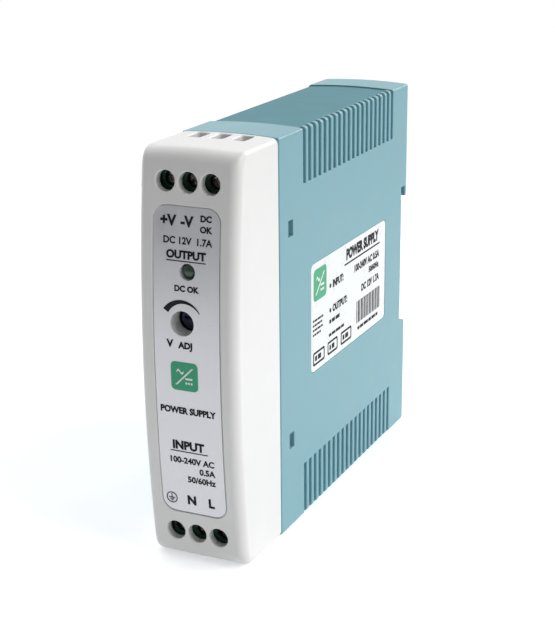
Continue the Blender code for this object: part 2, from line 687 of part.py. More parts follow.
def make_boards():
    """Front board across the casing, main board along its left wall, and the headers between them."""
    front_half, margin = 7.8, 5.0
    front = box("front_board", (-front_half, FRONT_BOARD_Y, margin),
                (front_half, FRONT_BOARD_Y + BOARD, HEIGHT - margin), board_laminate())
    pin_holes = []
    hole = 0.65
    for x in POLES:
        for z in (MID_Z + SCREW_Z_OFFSET - 4.2, MID_Z - SCREW_Z_OFFSET + 4.2):
            pin_holes.append(((x - hole, FRONT_BOARD_Y - 1, z - hole),
                              (x + hole, FRONT_BOARD_Y + 3, z + hole)))
    header_x = PART_X + 1.6
    header_zs = (19.0, HEIGHT - 19.0)
    pin_pitch = 2.54
    pins = [pin_pitch * place for place in (-1.5, -0.5, 0.5, 1.5)]
    for z in header_zs:
        for offset in pins:
            pin_holes.append(((header_x - 0.5, FRONT_BOARD_Y - 1, z + offset - 0.5),
                              (header_x + 0.5, FRONT_BOARD_Y + 3, z + offset + 0.5)))
    cut(front, boxes("front_board_holes", pin_holes, board_laminate()))
    box("main_board", (MAIN_BOARD_X, FRONT_Y + 24.0, 4.0), (MAIN_TOP_X, CAVITY_REAR - 1.0, HEIGHT - 4.0),
        board_laminate())
    sheet_x = -INNER_W + CLEARANCE
    box("insulation_sheet", (sheet_x, FRONT_Y + 30.0, margin), (sheet_x + 0.3, FRONT_Y + 92.0, HEIGHT - margin),
        material("insulation_film", (0.75, 0.78, 0.7), 0.4))
    body_front = FRONT_BOARD_Y + BOARD + CLEARANCE
    for name, z in zip(("link_header_input", "link_header_output"), header_zs):
        half_length, pin = 2 * pin_pitch, 0.3
        header = box(name, (PART_X, body_front, z - half_length),
                     (PART_X + 3.2, body_front + 2.5, z + half_length), black_plastic())
        for number, offset in enumerate(pins):
            unite(header, box(f"{name}_pin_{number}", (header_x - pin, FRONT_BOARD_Y - 0.6, z + offset - pin),
                              (header_x + pin, body_front + 1, z + offset + pin), black_plastic()))


def make_indicator_and_trimmer():
    """The status LED on the front board with its light pipe, and the voltage trimmer."""
    lens = material("green_lens", (0.02, 0.16, 0.07), 0.2)
    board = FRONT_BOARD_Y - CLEARANCE
    pipe_front = front_face_y(LED_Z) + 0.2
    turned("led_light_pipe", (LED_X, LED_Z), "Y",
           [(pipe_front, 1.1), (pipe_front + 0.3, 1.5), (board - 1.4, 1.5)], 16, lens)
    box("status_led", (LED_X - 1.0, board - 1.1, LED_Z - 0.7), (LED_X + 1.0, board, LED_Z + 0.7),
        material("led_resin", (0.75, 0.8, 0.7), 0.3))
    body_front = board - 6.8
    half, seat_r = 3.5, 2.6
    blue = material("trimmer_blue", (0.04, 0.1, 0.3), 0.45)
    body = box("trimmer_body", (TRIM_X - half, body_front, TRIM_Z - half),
               (TRIM_X + half, board, TRIM_Z + half), blue, bevel=0.3)
    centre = [(TRIM_X, TRIM_Z)]
    cut(body, rods("rotor_seat", centre, "Y", seat_r, body_front - 1, body_front + 2.0, 16, white_plastic()))
    rotor_front, rotor_rear = TRIM_SLEEVE_END + CLEARANCE, body_front + 1.7
    knob_rear, hub_front = rotor_front + 1.3, body_front - 0.4
    knob_r, shaft_r, hub_r = TRIM_HOLE_R - 0.2, 1.9, 2.3
    knob = [(rotor_front, knob_r - 0.3), (rotor_front + 0.3, knob_r), (knob_rear, knob_r)]
    shaft = [(knob_rear, shaft_r), (hub_front, shaft_r)]
    hub = [(hub_front, hub_r), (rotor_rear, hub_r)]
    rotor = turned("trimmer_rotor", (0, 0), "Y", knob + shaft + hub, 16, black_plastic())
    slot_reach, slot_half, slot_depth = 1.7, 0.35, 0.8
    cut(rotor, box("rotor_slot", (-slot_reach, rotor_front - 1, -slot_half),
                   (slot_reach, rotor_front + slot_depth, slot_half), black_plastic()))
    rotor.location = (TRIM_X * MM, 0.0, TRIM_Z * MM)
    bpy.data.objects["rotor_slot"].location = rotor.location


def on_board(name, y, z, height, look, bevel=0.0, lift=0.0):
    """A block that stands on the main board over the spans y and z, given from the front and the floor."""
    low = (PART_X + lift, FRONT_Y + y[0], z[0])
    high = (PART_X + lift + height, FRONT_Y + y[1], z[1])
    return box(name, low, high, look, bevel)


def make_transformer():
    """Flyback transformer: two ferrite E cores around a bobbin with a taped winding."""
    y0, z0, length, width, height = FRONT_Y + 55.0, 36.0, 19.0, 18.0, 14.6
    middle_z = z0 + width / 2
    leg, yoke, middle_leg_half = 3.4, 3.4, 2.2
    base = PART_X + 1.2
    y_mid = y0 + length / 2
    half = length / 2
    for name, start, end, direction in (("transformer_core_lower", z0, middle_z - 0.05, 1),
                                        ("transformer_core_upper", z0 + width, middle_z + 0.05, -1)):
        inner = start + direction * yoke
        right = [(half, start), (half, end), (half - leg, end), (half - leg, inner),
                 (middle_leg_half, inner), (middle_leg_half, end)]
        outline = [(y_mid + y, z) for y, z in right] + [(y_mid - y, z) for y, z in right[::-1]]
        prism(name, outline, "X", base + 4.6, base + 10.0, ferrite())
    hollow = 2.5
    x_mid = base + 7.3
    z_low, z_high = z0 + yoke + CLEARANCE, z0 + width - yoke - CLEARANCE
    flange = 0.9
    wall = hollow + 0.8
    reach = length / 2 - leg - CLEARANCE
    bobbin_half, hollow_half = 3.9, 3.0
    bobbin = box("transformer_bobbin", (x_mid - bobbin_half, y_mid - wall, z_low),
                 (x_mid + bobbin_half, y_mid + wall, z_high), black_plastic())
    for number, (low, high) in enumerate(((z_low, z_low + flange), (z_high - flange, z_high))):
        unite(bobbin, box(f"bobbin_flange_{number}", (PART_X, y_mid - reach, low),
                          (base + height - 1.0, y_mid + reach, high), black_plastic()))
    cut(bobbin, box("bobbin_hollow", (x_mid - hollow_half, y_mid - hollow, z0),
                    (x_mid + hollow_half, y_mid + hollow, z0 + width), black_plastic()))
    tape = material("winding_tape", (0.75, 0.55, 0.06), 0.35)
    winding = box("transformer_winding", (x_mid - 6.4, y_mid - reach + 0.3, z_low + flange + 0.2),
                  (x_mid + 6.2, y_mid + reach - 0.3, z_high - flange - 0.2), tape)
    over_x, over_y = bobbin_half + 0.2, wall + 0.2
    cut(winding, box("winding_hollow", (x_mid - over_x, y_mid - over_y, z0),
                     (x_mid + over_x, y_mid + over_y, z0 + width), tape))


def make_capacitors():
    sleeve = material("black_sleeve", (0.03, 0.035, 0.05), 0.35)
    bulk_r = 6.2
    turned("bulk_capacitor", (PART_X + bulk_r, 11.4), "Y",
           [(FRONT_Y + 66.0, bulk_r - 0.6), (FRONT_Y + 66.6, bulk_r), (FRONT_Y + 90.4, bulk_r),
            (FRONT_Y + 91.0, bulk_r - 0.6)], 20, sleeve)
    for number, (y, z) in enumerate(((48.0, 76.0), (58.0, 76.0)), start=1):
        turned(f"output_capacitor_{number}", (FRONT_Y + y, z), "X",
               [(PART_X, 3.9), (PART_X + 13.0, 3.9), (PART_X + 13.4, 3.5)], 16, sleeve)
    film = material("film_yellow", (0.72, 0.6, 0.12), 0.4)
    on_board("x_capacitor", (31.0, 44.0), (19.5, 25.5), 11.5, film, bevel=0.4)
    disc = material("disc_blue", (0.05, 0.2, 0.45), 0.4)
    disc_part("y_capacitor", 52.0, 60.0, 3.6, 3.4, disc)
    disc_part("varistor", 39.5, 10.5, 3.9, 3.2, disc)
    green = material("thermistor_green", (0.07, 0.13, 0.07), 0.5)
    disc_part("inrush_thermistor", 47.0, 10.5, 3.6, 3.2, green)


def disc_part(name, y, z, radius, thickness, look):
    """A coated disc standing on edge on the main board, flat sides facing the front and the rear."""
    start = FRONT_Y + y
    turned(name, (PART_X + radius + 1.2, z), "Y",
           [(start, radius * 0.7), (start + thickness * 0.25, radius), (start + thickness * 0.75, radius),
            (start + thickness, radius * 0.7)], 14, look)


def make_choke():
    """Common-mode choke: a ferrite ring with a winding on each side."""
    centre = Vector((PART_X + 3.6, FRONT_Y + 53.0, 25.0))
    ring_r, half_core = 4.8, 1.6
    bm = bmesh.new()
    square = [(-1, -1), (1, -1), (1, 1), (-1, 1)]
    core = [(a * half_core, b * 2.0) for a, b in square]
    swept_loop(bm, ring_sections(centre, ring_r, core, 0, 360, 20), closed=True)
    round_shading(link_mesh("choke_core", bm, ferrite()))
    copper = material("enamelled_copper", (0.45, 0.16, 0.05), 0.35, 1.0)
    inside, outside = half_core + 0.2, half_core + 1.0
    for name, start in (("choke_winding_1", 25), ("choke_winding_2", 205)):
        bm = bmesh.new()
        loops = []
        for out, along in ((outside, 3.0), (inside, 2.2)):
            outline = [(a * out, b * along) for a, b in square]
            loops.append(ring_sections(centre, ring_r, outline, start, start + 130, 7))
        sleeve(bm, *loops)
        round_shading(link_mesh(name, bm, copper))


def ring_sections(centre, ring_r, outline, start, end, steps):
    """Outlines of (outward, along X) points placed round a ring whose axis is X."""
    sections = []
    last = steps if end - start < 360 else steps - 1
    for i in range(last + 1):
        angle = math.radians(start + (end - start) * i / steps)
        outward = Vector((0.0, math.cos(angle), math.sin(angle)))
        sections.append([centre + outward * (ring_r + a) + Vector((b, 0.0, 0.0)) for a, b in outline])
    return sections


def sleeve(bm, outer, inner):
    """A hollow sleeve between two matching runs of loops, closed at both ends by rims."""
    skins = []
    for sections in (outer, inner):
        rings = [[bm.verts.new(point) for point in section] for section in sections]
        for ring, following in zip(rings, rings[1:]):
            for i in range(len(ring)):
                j = (i + 1) % len(ring)
                bm.faces.new((ring[i], ring[j], following[j], following[i]))
        skins.append(rings)
    for end in (0, -1):
        wide, narrow = skins[0][end], skins[1][end]
        for i in range(len(wide)):
            j = (i + 1) % len(wide)
            bm.faces.new((wide[i], wide[j], narrow[j], narrow[i]))


def make_input_parts():
    """The fuse and the bridge rectifier."""
    brown = material("fuse_brown", (0.12, 0.05, 0.03), 0.45)
    fuse_profile = [(PART_X, 4.2), (PART_X + 7.6, 4.2), (PART_X + 8.0, 3.8)]
    turned("fuse", (FRONT_Y + 34.0, 11.5), "X", fuse_profile, 16, brown)
    on_board("bridge_rectifier", (60.5, 64.2), (13.0, 27.5), 10.5, black_plastic(), bevel=0.3, lift=2.0)


def make_power_parts():
    """Heat sinks with their transistor and rectifier, and the screws that hold them."""
    place_heatsink("primary", "switching_transistor", 68.0, 22.2)
    place_heatsink("secondary", "output_rectifier", 68.0, 66.0)
    rim, waist = 3.8, 3.2
    drum = [(0.0, rim), (1.2, rim), (1.2, waist), (9.0, waist), (9.0, rim), (10.2, rim)]
    turned("output_inductor", (FRONT_Y + 38.0, 76.0), "X", [(PART_X + x, r) for x, r in drum], 16, ferrite())
    on_board("optocoupler", (47.0, 51.6), (44.0, 50.4), 3.6, black_plastic(), bevel=0.2)
    on_board("controller_ic", (84.0, 89.0), (34.0, 38.0), 1.5, black_plastic(), bevel=0.15)


def place_heatsink(prefix, device, y, z):
    """A plate standing on the main board, a device flat against it and a screw through both."""
    plate, device_gap = 1.5, 0.15
    x_high = PART_X + 13.6
    tab_y, tab_x = FRONT_Y + y + 10.0, PART_X + 10.2
    sink = box(f"{prefix}_heatsink", (PART_X, FRONT_Y + y, z), (x_high, FRONT_Y + y + 20.0, z + plate),
               aluminium())
    body_z = z + plate + device_gap
    body_half, tab_half, tab_thickness = 5.0, 4.9, 1.2
    piece = box(device, (PART_X + 1.0, tab_y - body_half, body_z),
                (PART_X + 7.3, tab_y + body_half, body_z + 4.3), black_plastic(), bevel=0.3)
    unite(piece, box(f"{device}_tab", (PART_X + 6.5, tab_y - tab_half, body_z),
                     (PART_X + 12.6, tab_y + tab_half, body_z + tab_thickness), black_plastic()))
    hole, hole_r, shank_r, head_r = [(tab_x, tab_y)], 1.7, 1.3, 2.6
    cut(sink, rods(f"{prefix}_sink_hole", hole, "Z", hole_r, z - 1, z + 3, 12, aluminium()))
    cut(piece, rods(f"{device}_hole", hole, "Z", hole_r, body_z - 1, body_z + 2, 12, aluminium()))
    head_z = body_z + tab_thickness + 0.2
    shank = [(z - 1.2, shank_r), (head_z, shank_r)]
    head = [(head_z, head_r), (head_z + 1.6, head_r), (head_z + 1.9, head_r - 0.4)]
    turned(f"{prefix}_heatsink_screw", hole[0], "Z", shank + head, 12, steel())


def main():
    for old in list(bpy.data.objects):
        bpy.data.objects.remove(old)
    make_housing()
    make_cover()
    make_labels()
    make_latch()
    make_terminal_block()
    make_contact_tabs()
    make_terminal_screws()
    make_wire_cages()
    make_boards()
    make_indicator_and_trimmer()
    make_transformer()
    make_capacitors()
    make_choke()
    make_input_parts()
    make_power_parts()
    bpy.context.view_layer.update()


main()
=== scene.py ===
"""Looks of the DIN rail power supply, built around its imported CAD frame.

Sizes are in millimetres and become metres when a mesh is made. X runs across the width, Y from the
front face to the rail side and Z up. The casing's driving sizes are read from the frame's nodes.
"""

import math

import bmesh
import bpy
from mathutils import Matrix, Vector


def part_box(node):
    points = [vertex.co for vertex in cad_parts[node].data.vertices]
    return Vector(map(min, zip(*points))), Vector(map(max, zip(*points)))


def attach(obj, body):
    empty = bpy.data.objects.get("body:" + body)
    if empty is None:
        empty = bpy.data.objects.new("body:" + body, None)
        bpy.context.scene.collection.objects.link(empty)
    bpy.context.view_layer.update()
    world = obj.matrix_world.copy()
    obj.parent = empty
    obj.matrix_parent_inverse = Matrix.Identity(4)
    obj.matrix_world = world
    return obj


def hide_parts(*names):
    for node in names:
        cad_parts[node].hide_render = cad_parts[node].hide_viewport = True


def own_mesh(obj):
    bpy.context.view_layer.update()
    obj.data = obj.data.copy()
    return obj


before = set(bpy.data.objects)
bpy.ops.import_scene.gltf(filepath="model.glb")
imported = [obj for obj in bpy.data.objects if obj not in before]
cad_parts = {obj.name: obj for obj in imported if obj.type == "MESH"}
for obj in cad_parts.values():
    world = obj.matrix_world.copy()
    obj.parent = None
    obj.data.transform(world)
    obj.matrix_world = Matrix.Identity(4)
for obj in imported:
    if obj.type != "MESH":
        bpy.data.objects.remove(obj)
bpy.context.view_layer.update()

MM = 0.001


def node_box(name):
    """A CAD node's lowest and highest corner, in millimetres."""
    low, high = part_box(name)
    return low / MM, high / MM


cover_low = node_box("front_cover")[0]
housing_low, housing_high = node_box("housing_shell")

# Casing
HALF_W = housing_high.x
HEIGHT = housing_high.z
MID_Z = HEIGHT / 2
FRONT_Y = cover_low.y
REAR_Y = housing_high.y
HOUSING_FRONT = housing_low.y
COVER_REAR = HOUSING_FRONT - 0.3
WALL = 1.85
INNER_W = HALF_W - WALL
CLEARANCE = 0.3

# Curvature and rounding of the casing
COVER_BOW = 3.2
TOP_CROWN = 0.45
FOOT_CROWN = 0.1
COVER_CORNER = 4.2
HOLLOW_CORNER = 1.15
COVER_EDGE_FRONT = 2.2
COVER_EDGE_TOP = 1.3
HOUSING_EDGE = 0.55
REAR_EDGE = 1.7
SEAM_EDGE = 0.3

# Vent bands and grooves
BAND_START = FRONT_Y + 33.7
BAND_END = FRONT_Y + 88.3
BAND_DEPTH = 0.4
GROOVES = 20
GROOVE_WIDTH = 1.4
GROOVE_DEPTH = 1.05
GROOVE_END_Z = HEIGHT - 12.5
GROOVE_PITCH = (BAND_END - BAND_START - GROOVE_WIDTH) / (GROOVES - 1)
GROOVE_LIP = 0.22
GROOVE_FILLET = 0.2
GROOVE_CORNER = 0.4
BAND_LIP = 0.18
BAND_FILLET = 0.12
RIB_ROUND = 0.8
RIB_TIP = 1.3

# Front panel
POLES = (-5.08, 0.0, 5.08)
SCREW_Z_OFFSET = 38.2
SCREW_ZS = (MID_Z - SCREW_Z_OFFSET, MID_Z + SCREW_Z_OFFSET)
SCREW_HOLE_R = 2.15
LED_X, LED_Z, LED_HOLE_R = 0.25, 65.25, 1.75
TRIM_X, TRIM_Z, TRIM_HOLE_R = -1.0, 54.4, 2.65
LABEL_HALF_W = 7.45
LABEL_BOTTOM, LABEL_TOP = 11.8, 78.4
LABEL_CORNER = 2.8
LABEL_RECESS = 0.3

# Side label
label_low, label_high = node_box("side_label")
SIDE_LABEL_LOW = (label_low.y, label_low.z)
SIDE_LABEL_HIGH = (label_high.y, label_high.z)

# Snap windows and latch
SNAP_Y = FRONT_Y + 27.0
SNAP_ZS = (MID_Z - 24.2, MID_Z + 24.2)
SNAP_LENGTH, SNAP_HEIGHT = 2.4, 3.6
LATCH_BACK = REAR_Y - 4.4
LATCH_SHOULDER = 25.6
LATCH_FLANGE = 2.2
FLANGE_HALF = 6.9
NECK_HALF = 5.7

# The body that everything without its own joint belongs to
ROOT = "casing"


# ---------------------------------------------------------------------------------------------
# Mesh helpers
# ---------------------------------------------------------------------------------------------

def arc_steps(count):
    """Angles from 0 to 90 degrees in equal steps."""
    return [math.radians(90 * i / count) for i in range(count + 1)]


def front_face_y(z):
    """Y of the cover's bowed front face at height z."""
    return FRONT_Y + COVER_BOW * ((z - MID_Z) / MID_Z) ** 2


def crown_at(x, depth):
    """How far a crowned surface has dropped at x from its middle."""
    return depth * (x / HALF_W) ** 2


def skin(bm, rings, closed=False):
    """Faces between matching rings of vertices, end to end."""
    pairs = list(zip(rings, rings[1:]))
    if closed:
        pairs.append((rings[-1], rings[0]))
    for ring, following in pairs:
        for i in range(len(ring)):
            j = (i + 1) % len(ring)
            bm.faces.new((ring[i], ring[j], following[j], following[i]))


def vertex_ring(bm, points):
    return [bm.verts.new(point) for point in points]


def loft(bm, sections, closed=False):
    """A tube through matching sections, with flat caps unless it is closed."""
    rings = [vertex_ring(bm, section) for section in sections]
    skin(bm, rings, closed)
    if not closed:
        bm.faces.new(rings[0])
        bm.faces.new(rings[-1])


def add_object(name, data):
    """A new object in the scene, made of the data."""
    made = bpy.data.objects.new(name, data)
    bpy.context.scene.collection.objects.link(made)
    return made


def make_object(name, bm, look=None):
    """Turn a bmesh in millimetres into an object in metres."""
    bmesh.ops.recalc_face_normals(bm, faces=bm.faces[:])
    bmesh.ops.scale(bm, vec=(MM, MM, MM), verts=bm.verts[:])
    mesh = bpy.data.meshes.new(name)
    bm.to_mesh(mesh)
    bm.free()
    if look is not None:
        mesh.materials.append(look)
    return add_object(name, mesh)


def round_shading(piece, angle=32):
    """Shade smooth, keep edges over the angle sharp and let large faces lead the normals."""
    piece.data.shade_smooth()
    piece.data.set_sharp_from_angle(angle=math.radians(angle))
    weighted = piece.modifiers.new("weighted_normals", "WEIGHTED_NORMAL")
    weighted.keep_sharp = True
    weighted.weight = 90
    return piece


def circle(centre, radius, sides):
    angles = [math.tau * i / sides for i in range(sides)]
    return [(centre[0] + radius * math.cos(a), centre[1] + radius * math.sin(a)) for a in angles]


def around(middle, half):
    return middle - half, middle + half


def rectangle(a0, a1, b0, b1):
    return [(a0, b0), (a1, b0), (a1, b1), (a0, b1)]


def on_axis(axis, along, a, b):
    """The point at a distance along X, Y or Z and at (a, b) in the plane across it."""
    return {"X": (along, a, b), "Y": (a, along, b), "Z": (a, b, along)}[axis]


def carry_out(piece, *steps):
    """Boolean the piece with cutters and additions in turn, and keep the result as its mesh."""
    for operation, other in steps:
        modifier = piece.modifiers.new(other.name, "BOOLEAN")
        modifier.operation = operation
        modifier.solver = "EXACT"
        modifier.object = other
        graph = bpy.context.evaluated_depsgraph_get()
        mesh = bpy.data.meshes.new_from_object(piece.evaluated_get(graph))
        piece.modifiers.clear()
        piece.data = mesh
        bpy.data.objects.remove(other)
    return piece


def cuts(*cutters):
    """Boolean steps that take each cutter away."""
    return [("DIFFERENCE", cutter) for cutter in cutters]


def belongs(piece, body=ROOT, replaces=()):
    """Tie a finished piece to its CAD body and the nodes it stands for."""
    if replaces:
        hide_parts(*replaces)
    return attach(piece, body)


def grown(outline, distance):
    """A polygon (counter-clockwise) with its sides moved outwards by a distance."""
    count = len(outline)
    result = []
    for i in range(count):
        previous, point, following = (Vector(outline[k % count]) for k in (i - 1, i, i + 1))
        before = (point - previous).normalized()
        after = (following - point).normalized()
        normal_before = Vector((before.y, -before.x))
        normal_after = Vector((after.y, -after.x))
        share = distance / (1.0 + normal_before.dot(normal_after))
        result.append(tuple(point + (normal_before + normal_after) * share))
    return result


def rounded(outline, radius, steps=4):
    """A polygon with each corner replaced by an arc; radius is one value or one for each corner."""
    count = len(outline)
    radii = radius if isinstance(radius, (list, tuple)) else [radius] * count
    result = []
    for i in range(count):
        previous, point, following = (Vector(outline[k % count]) for k in (i - 1, i, i + 1))
        before = (previous - point).normalized()
        after = (following - point).normalized()
        turn = before.angle(after)
        if radii[i] <= 0 or turn > math.radians(178):
            result.append(tuple(point))
            continue
        reach = radii[i] / math.tan(turn / 2)
        start = point + before * reach
        end = point + after * reach
        centre = point + (before + after).normalized() * radii[i] / math.sin(turn / 2)
        first, last = start - centre, end - centre
        sweep = first.angle_signed(last)
        for k in range(steps + 1):
            angle = -sweep * k / steps
            result.append((
                centre.x + first.x * math.cos(angle) - first.y * math.sin(angle),
                centre.y + first.x * math.sin(angle) + first.y * math.cos(angle),
            ))
    return result


def flare(mouth, steps=3):
    """(depth, growth) pairs for a rounded mouth, from outside the surface down to its full depth."""
    overshoot = 0.2
    pairs = [(-overshoot, mouth + overshoot)]
    for angle in arc_steps(steps)[::-1][1:]:
        pairs.append((mouth * (1 - math.sin(angle)), mouth * (1 - math.cos(angle))))
    return pairs


def mouth_cutter(name, centre, radius, mouth, depth, sides=40):
    """A round cutter along Y whose mouth is rounded where it meets the bowed front face."""
    bm = bmesh.new()
    levels = flare(mouth) + [(depth, 0.0)]
    sections = []
    for distance, growth in levels:
        rim = circle(centre, radius + growth, sides)
        sections.append([(x, front_face_y(z) + distance, z) for x, z in rim])
    loft(bm, sections)
    return make_object(name, bm)


def flared_box(name, axis, face, sign, spans, depth, mouth, corner):
    """A cutter that sinks into a flat face across an axis, with rounded corners and a rounded mouth.

    spans are the hole's (low, high) along the two other axes, in order.
    """
    outline = rectangle(*spans[0], *spans[1])
    bm = bmesh.new()
    sections = []
    for distance, growth in flare(mouth) + [(depth, 0.0)]:
        level = face - sign * distance
        corners = rounded(grown(outline, growth), corner + growth * 0.5)
        sections.append([on_axis(axis, level, a, b) for a, b in corners])
    loft(bm, sections)
    return make_object(name, bm)


def plain_prism(name, outline, axis, start, end):
    """A cutter or an addition: an outline extruded along X, Y or Z."""
    bm = bmesh.new()
    loft(bm, [[on_axis(axis, along, a, b) for a, b in outline] for along in (start, end)])
    return make_object(name, bm)


# ---------------------------------------------------------------------------------------------
# Materials
# ---------------------------------------------------------------------------------------------

class Nodes:
    """A node tree, with short calls that add to it and return an output socket."""

    def __init__(self, tree):
        self.tree = tree

    def feed(self, node, inputs):
        """Give a node's sockets an output to follow, or a plain number or colour."""
        for socket, value in inputs.items():
            if isinstance(value, bpy.types.NodeSocket):
                self.tree.links.new(value, node.inputs[socket])
            else:
                node.inputs[socket].default_value = value

    def add(self, kind, inputs, output, **settings):
        """Add a node with its settings and inputs."""
        node = self.tree.nodes.new(kind)
        for setting, value in settings.items():
            setattr(node, setting, value)
        self.feed(node, inputs)
        return node.outputs[output]

    def remap(self, value, low, high, to_low, to_high, **settings):
        """The value's range from low to high, spread from to_low to to_high."""
        inputs = {"Value": value, "From Min": low, "From Max": high, "To Min": to_low, "To Max": to_high}
        return self.add("ShaderNodeMapRange", inputs, "Result", **settings)

    def blend(self, share, first, second, kind="RGBA"):
        """A share of the second colour or number, and the rest of the first."""
        inputs = {"Factor": share, "A": first, "B": second}
        return self.add("ShaderNodeMix", inputs, "Result", data_type=kind)

    def arithmetic(self, operation, first, second):
        return self.add("ShaderNodeMath", {0: first, 1: second}, 0, operation=operation)


class Finish(Nodes):
    """A material's node tree, with textures whose sizes are in millimetres."""

    def __init__(self, name):
        self.material = bpy.data.materials.new(name)
        self.material.use_nodes = True
        super().__init__(self.material.node_tree)
        self.shader = self.tree.nodes["Principled BSDF"]
        metres = self.add("ShaderNodeTexCoord", {}, "Object")
        self.place = self.add("ShaderNodeVectorMath", {0: metres, "Scale": 1 / MM}, 0, operation="SCALE")

    def stretched(self, factors):
        """The object's coordinates, squeezed along the axes for brushed or drawn marks."""
        return self.add("ShaderNodeVectorMath", {0: self.place, 1: factors}, 0, operation="MULTIPLY")

    def noise(self, size, detail=2.0, roughness=0.5, factors=None):
        """Noise whose features are about size millimetres across."""
        place = self.stretched(factors) if factors else self.place
        inputs = {"Vector": place, "Scale": 1 / size, "Detail": detail, "Roughness": roughness}
        return self.add("ShaderNodeTexNoise", inputs, "Fac")

    def cell_edges(self, size):
        """Distance to the border between cells about size millimetres across."""
        inputs = {"Vector": self.place, "Scale": 1 / size}
        return self.add("ShaderNodeTexVoronoi", inputs, "Distance", feature="DISTANCE_TO_EDGE")

    def relief(self, height, depth, under=None):
        """A bump of so many millimetres over another bump, or over the bare surface."""
        inputs = {"Distance": depth * MM, "Height": height}
        if under is not None:
            inputs["Normal"] = under
        return self.add("ShaderNodeBump", inputs, "Normal")


def rgba(colour):
    return (*colour, 1.0)


def shade(colour, factor):
    """The colour times a factor, kept below pure white."""
    return tuple(min(0.97, channel * factor) for channel in colour)


# Shared by every finish; sizes are in millimetres. Most of a noise lies from NOISE_LOW to NOISE_HIGH
NOISE_LOW, NOISE_HIGH = 0.3, 0.7
PATCH_SIZE = 7.0
WAVE_SIZE = 3.5
SPECK_SIZE = 1.1
SPECK_LOW, SPECK_HIGH = 0.63, 0.72
DUST = (0.62, 0.62, 0.6)
ROUGHNESS_SPREAD = 0.08
SMOOTHEST, ROUGHEST = 0.03, 1.0
COAT_ROUGHNESS = 0.12


def surface(name, colour, roughness, grain, depth, tone, metallic=0.0, coat=0.0, specular=0.5,
            transmission=0.0, factors=None, dust=0.0):
    """A procedural finish.

    The colour varies from patch to patch by the share tone, and the roughness varies with it. A bump
    of depth mm gives a grain of so many mm, stretched by factors on metal that was drawn or rolled.
    dust is how far a few fine specks go towards grey.
    """
    finish = Finish(name)
    patches = finish.noise(PATCH_SIZE, detail=4.0)
    fine = finish.noise(grain, detail=3.0, roughness=0.6, factors=factors)
    darker, lighter = rgba(shade(colour, 1 - tone)), rgba(shade(colour, 1 + tone))
    tinted = finish.blend(finish.remap(patches, NOISE_LOW, NOISE_HIGH, 0.0, 1.0), darker, lighter)
    if dust:
        specks = finish.noise(SPECK_SIZE, detail=5.0, roughness=0.75)
        specks = finish.remap(specks, SPECK_LOW, SPECK_HIGH, 0.0, dust)
        tinted = finish.blend(specks, tinted, rgba(DUST))
    mixed = finish.arithmetic("ADD", finish.arithmetic("MULTIPLY", patches, 0.6),
                              finish.arithmetic("MULTIPLY", fine, 0.4))
    smooth = max(SMOOTHEST, roughness - ROUGHNESS_SPREAD)
    rough = min(ROUGHEST, roughness + ROUGHNESS_SPREAD)
    waves = finish.relief(finish.noise(WAVE_SIZE, detail=1.0), depth * 2)
    finish.feed(finish.shader, {
        "Base Color": tinted,
        "Roughness": finish.remap(mixed, NOISE_LOW, NOISE_HIGH, smooth, rough),
        "Normal": finish.relief(fine, depth, waves),
        "Metallic": metallic,
        "Specular IOR Level": specular,
        "Coat Weight": coat,
        "Coat Roughness": COAT_ROUGHNESS,
        "Transmission Weight": transmission,
    })
    return finish.material


def plastic(colour, roughness, grain=0.2, depth=0.005, tone=0.1, **more):
    """Settings for moulded plastic, lacquer or print."""
    return dict(colour=colour, roughness=roughness, grain=grain, depth=depth, tone=tone, **more)


def metal(colour, roughness, grain=0.12, depth=0.004, tone=0.04, metallic=1.0, **more):
    """Settings for bare, plated or enamelled metal."""
    return dict(colour=colour, roughness=roughness, grain=grain, depth=depth, tone=tone,
                metallic=metallic, **more)


TEAL = (0.175, 0.37, 0.428)
WHITE = (0.785, 0.785, 0.775)
INK = (0.016, 0.016, 0.022)
DRAWN_ALONG_Y = 0.06
ROLLED_ALONG_Y = 0.15

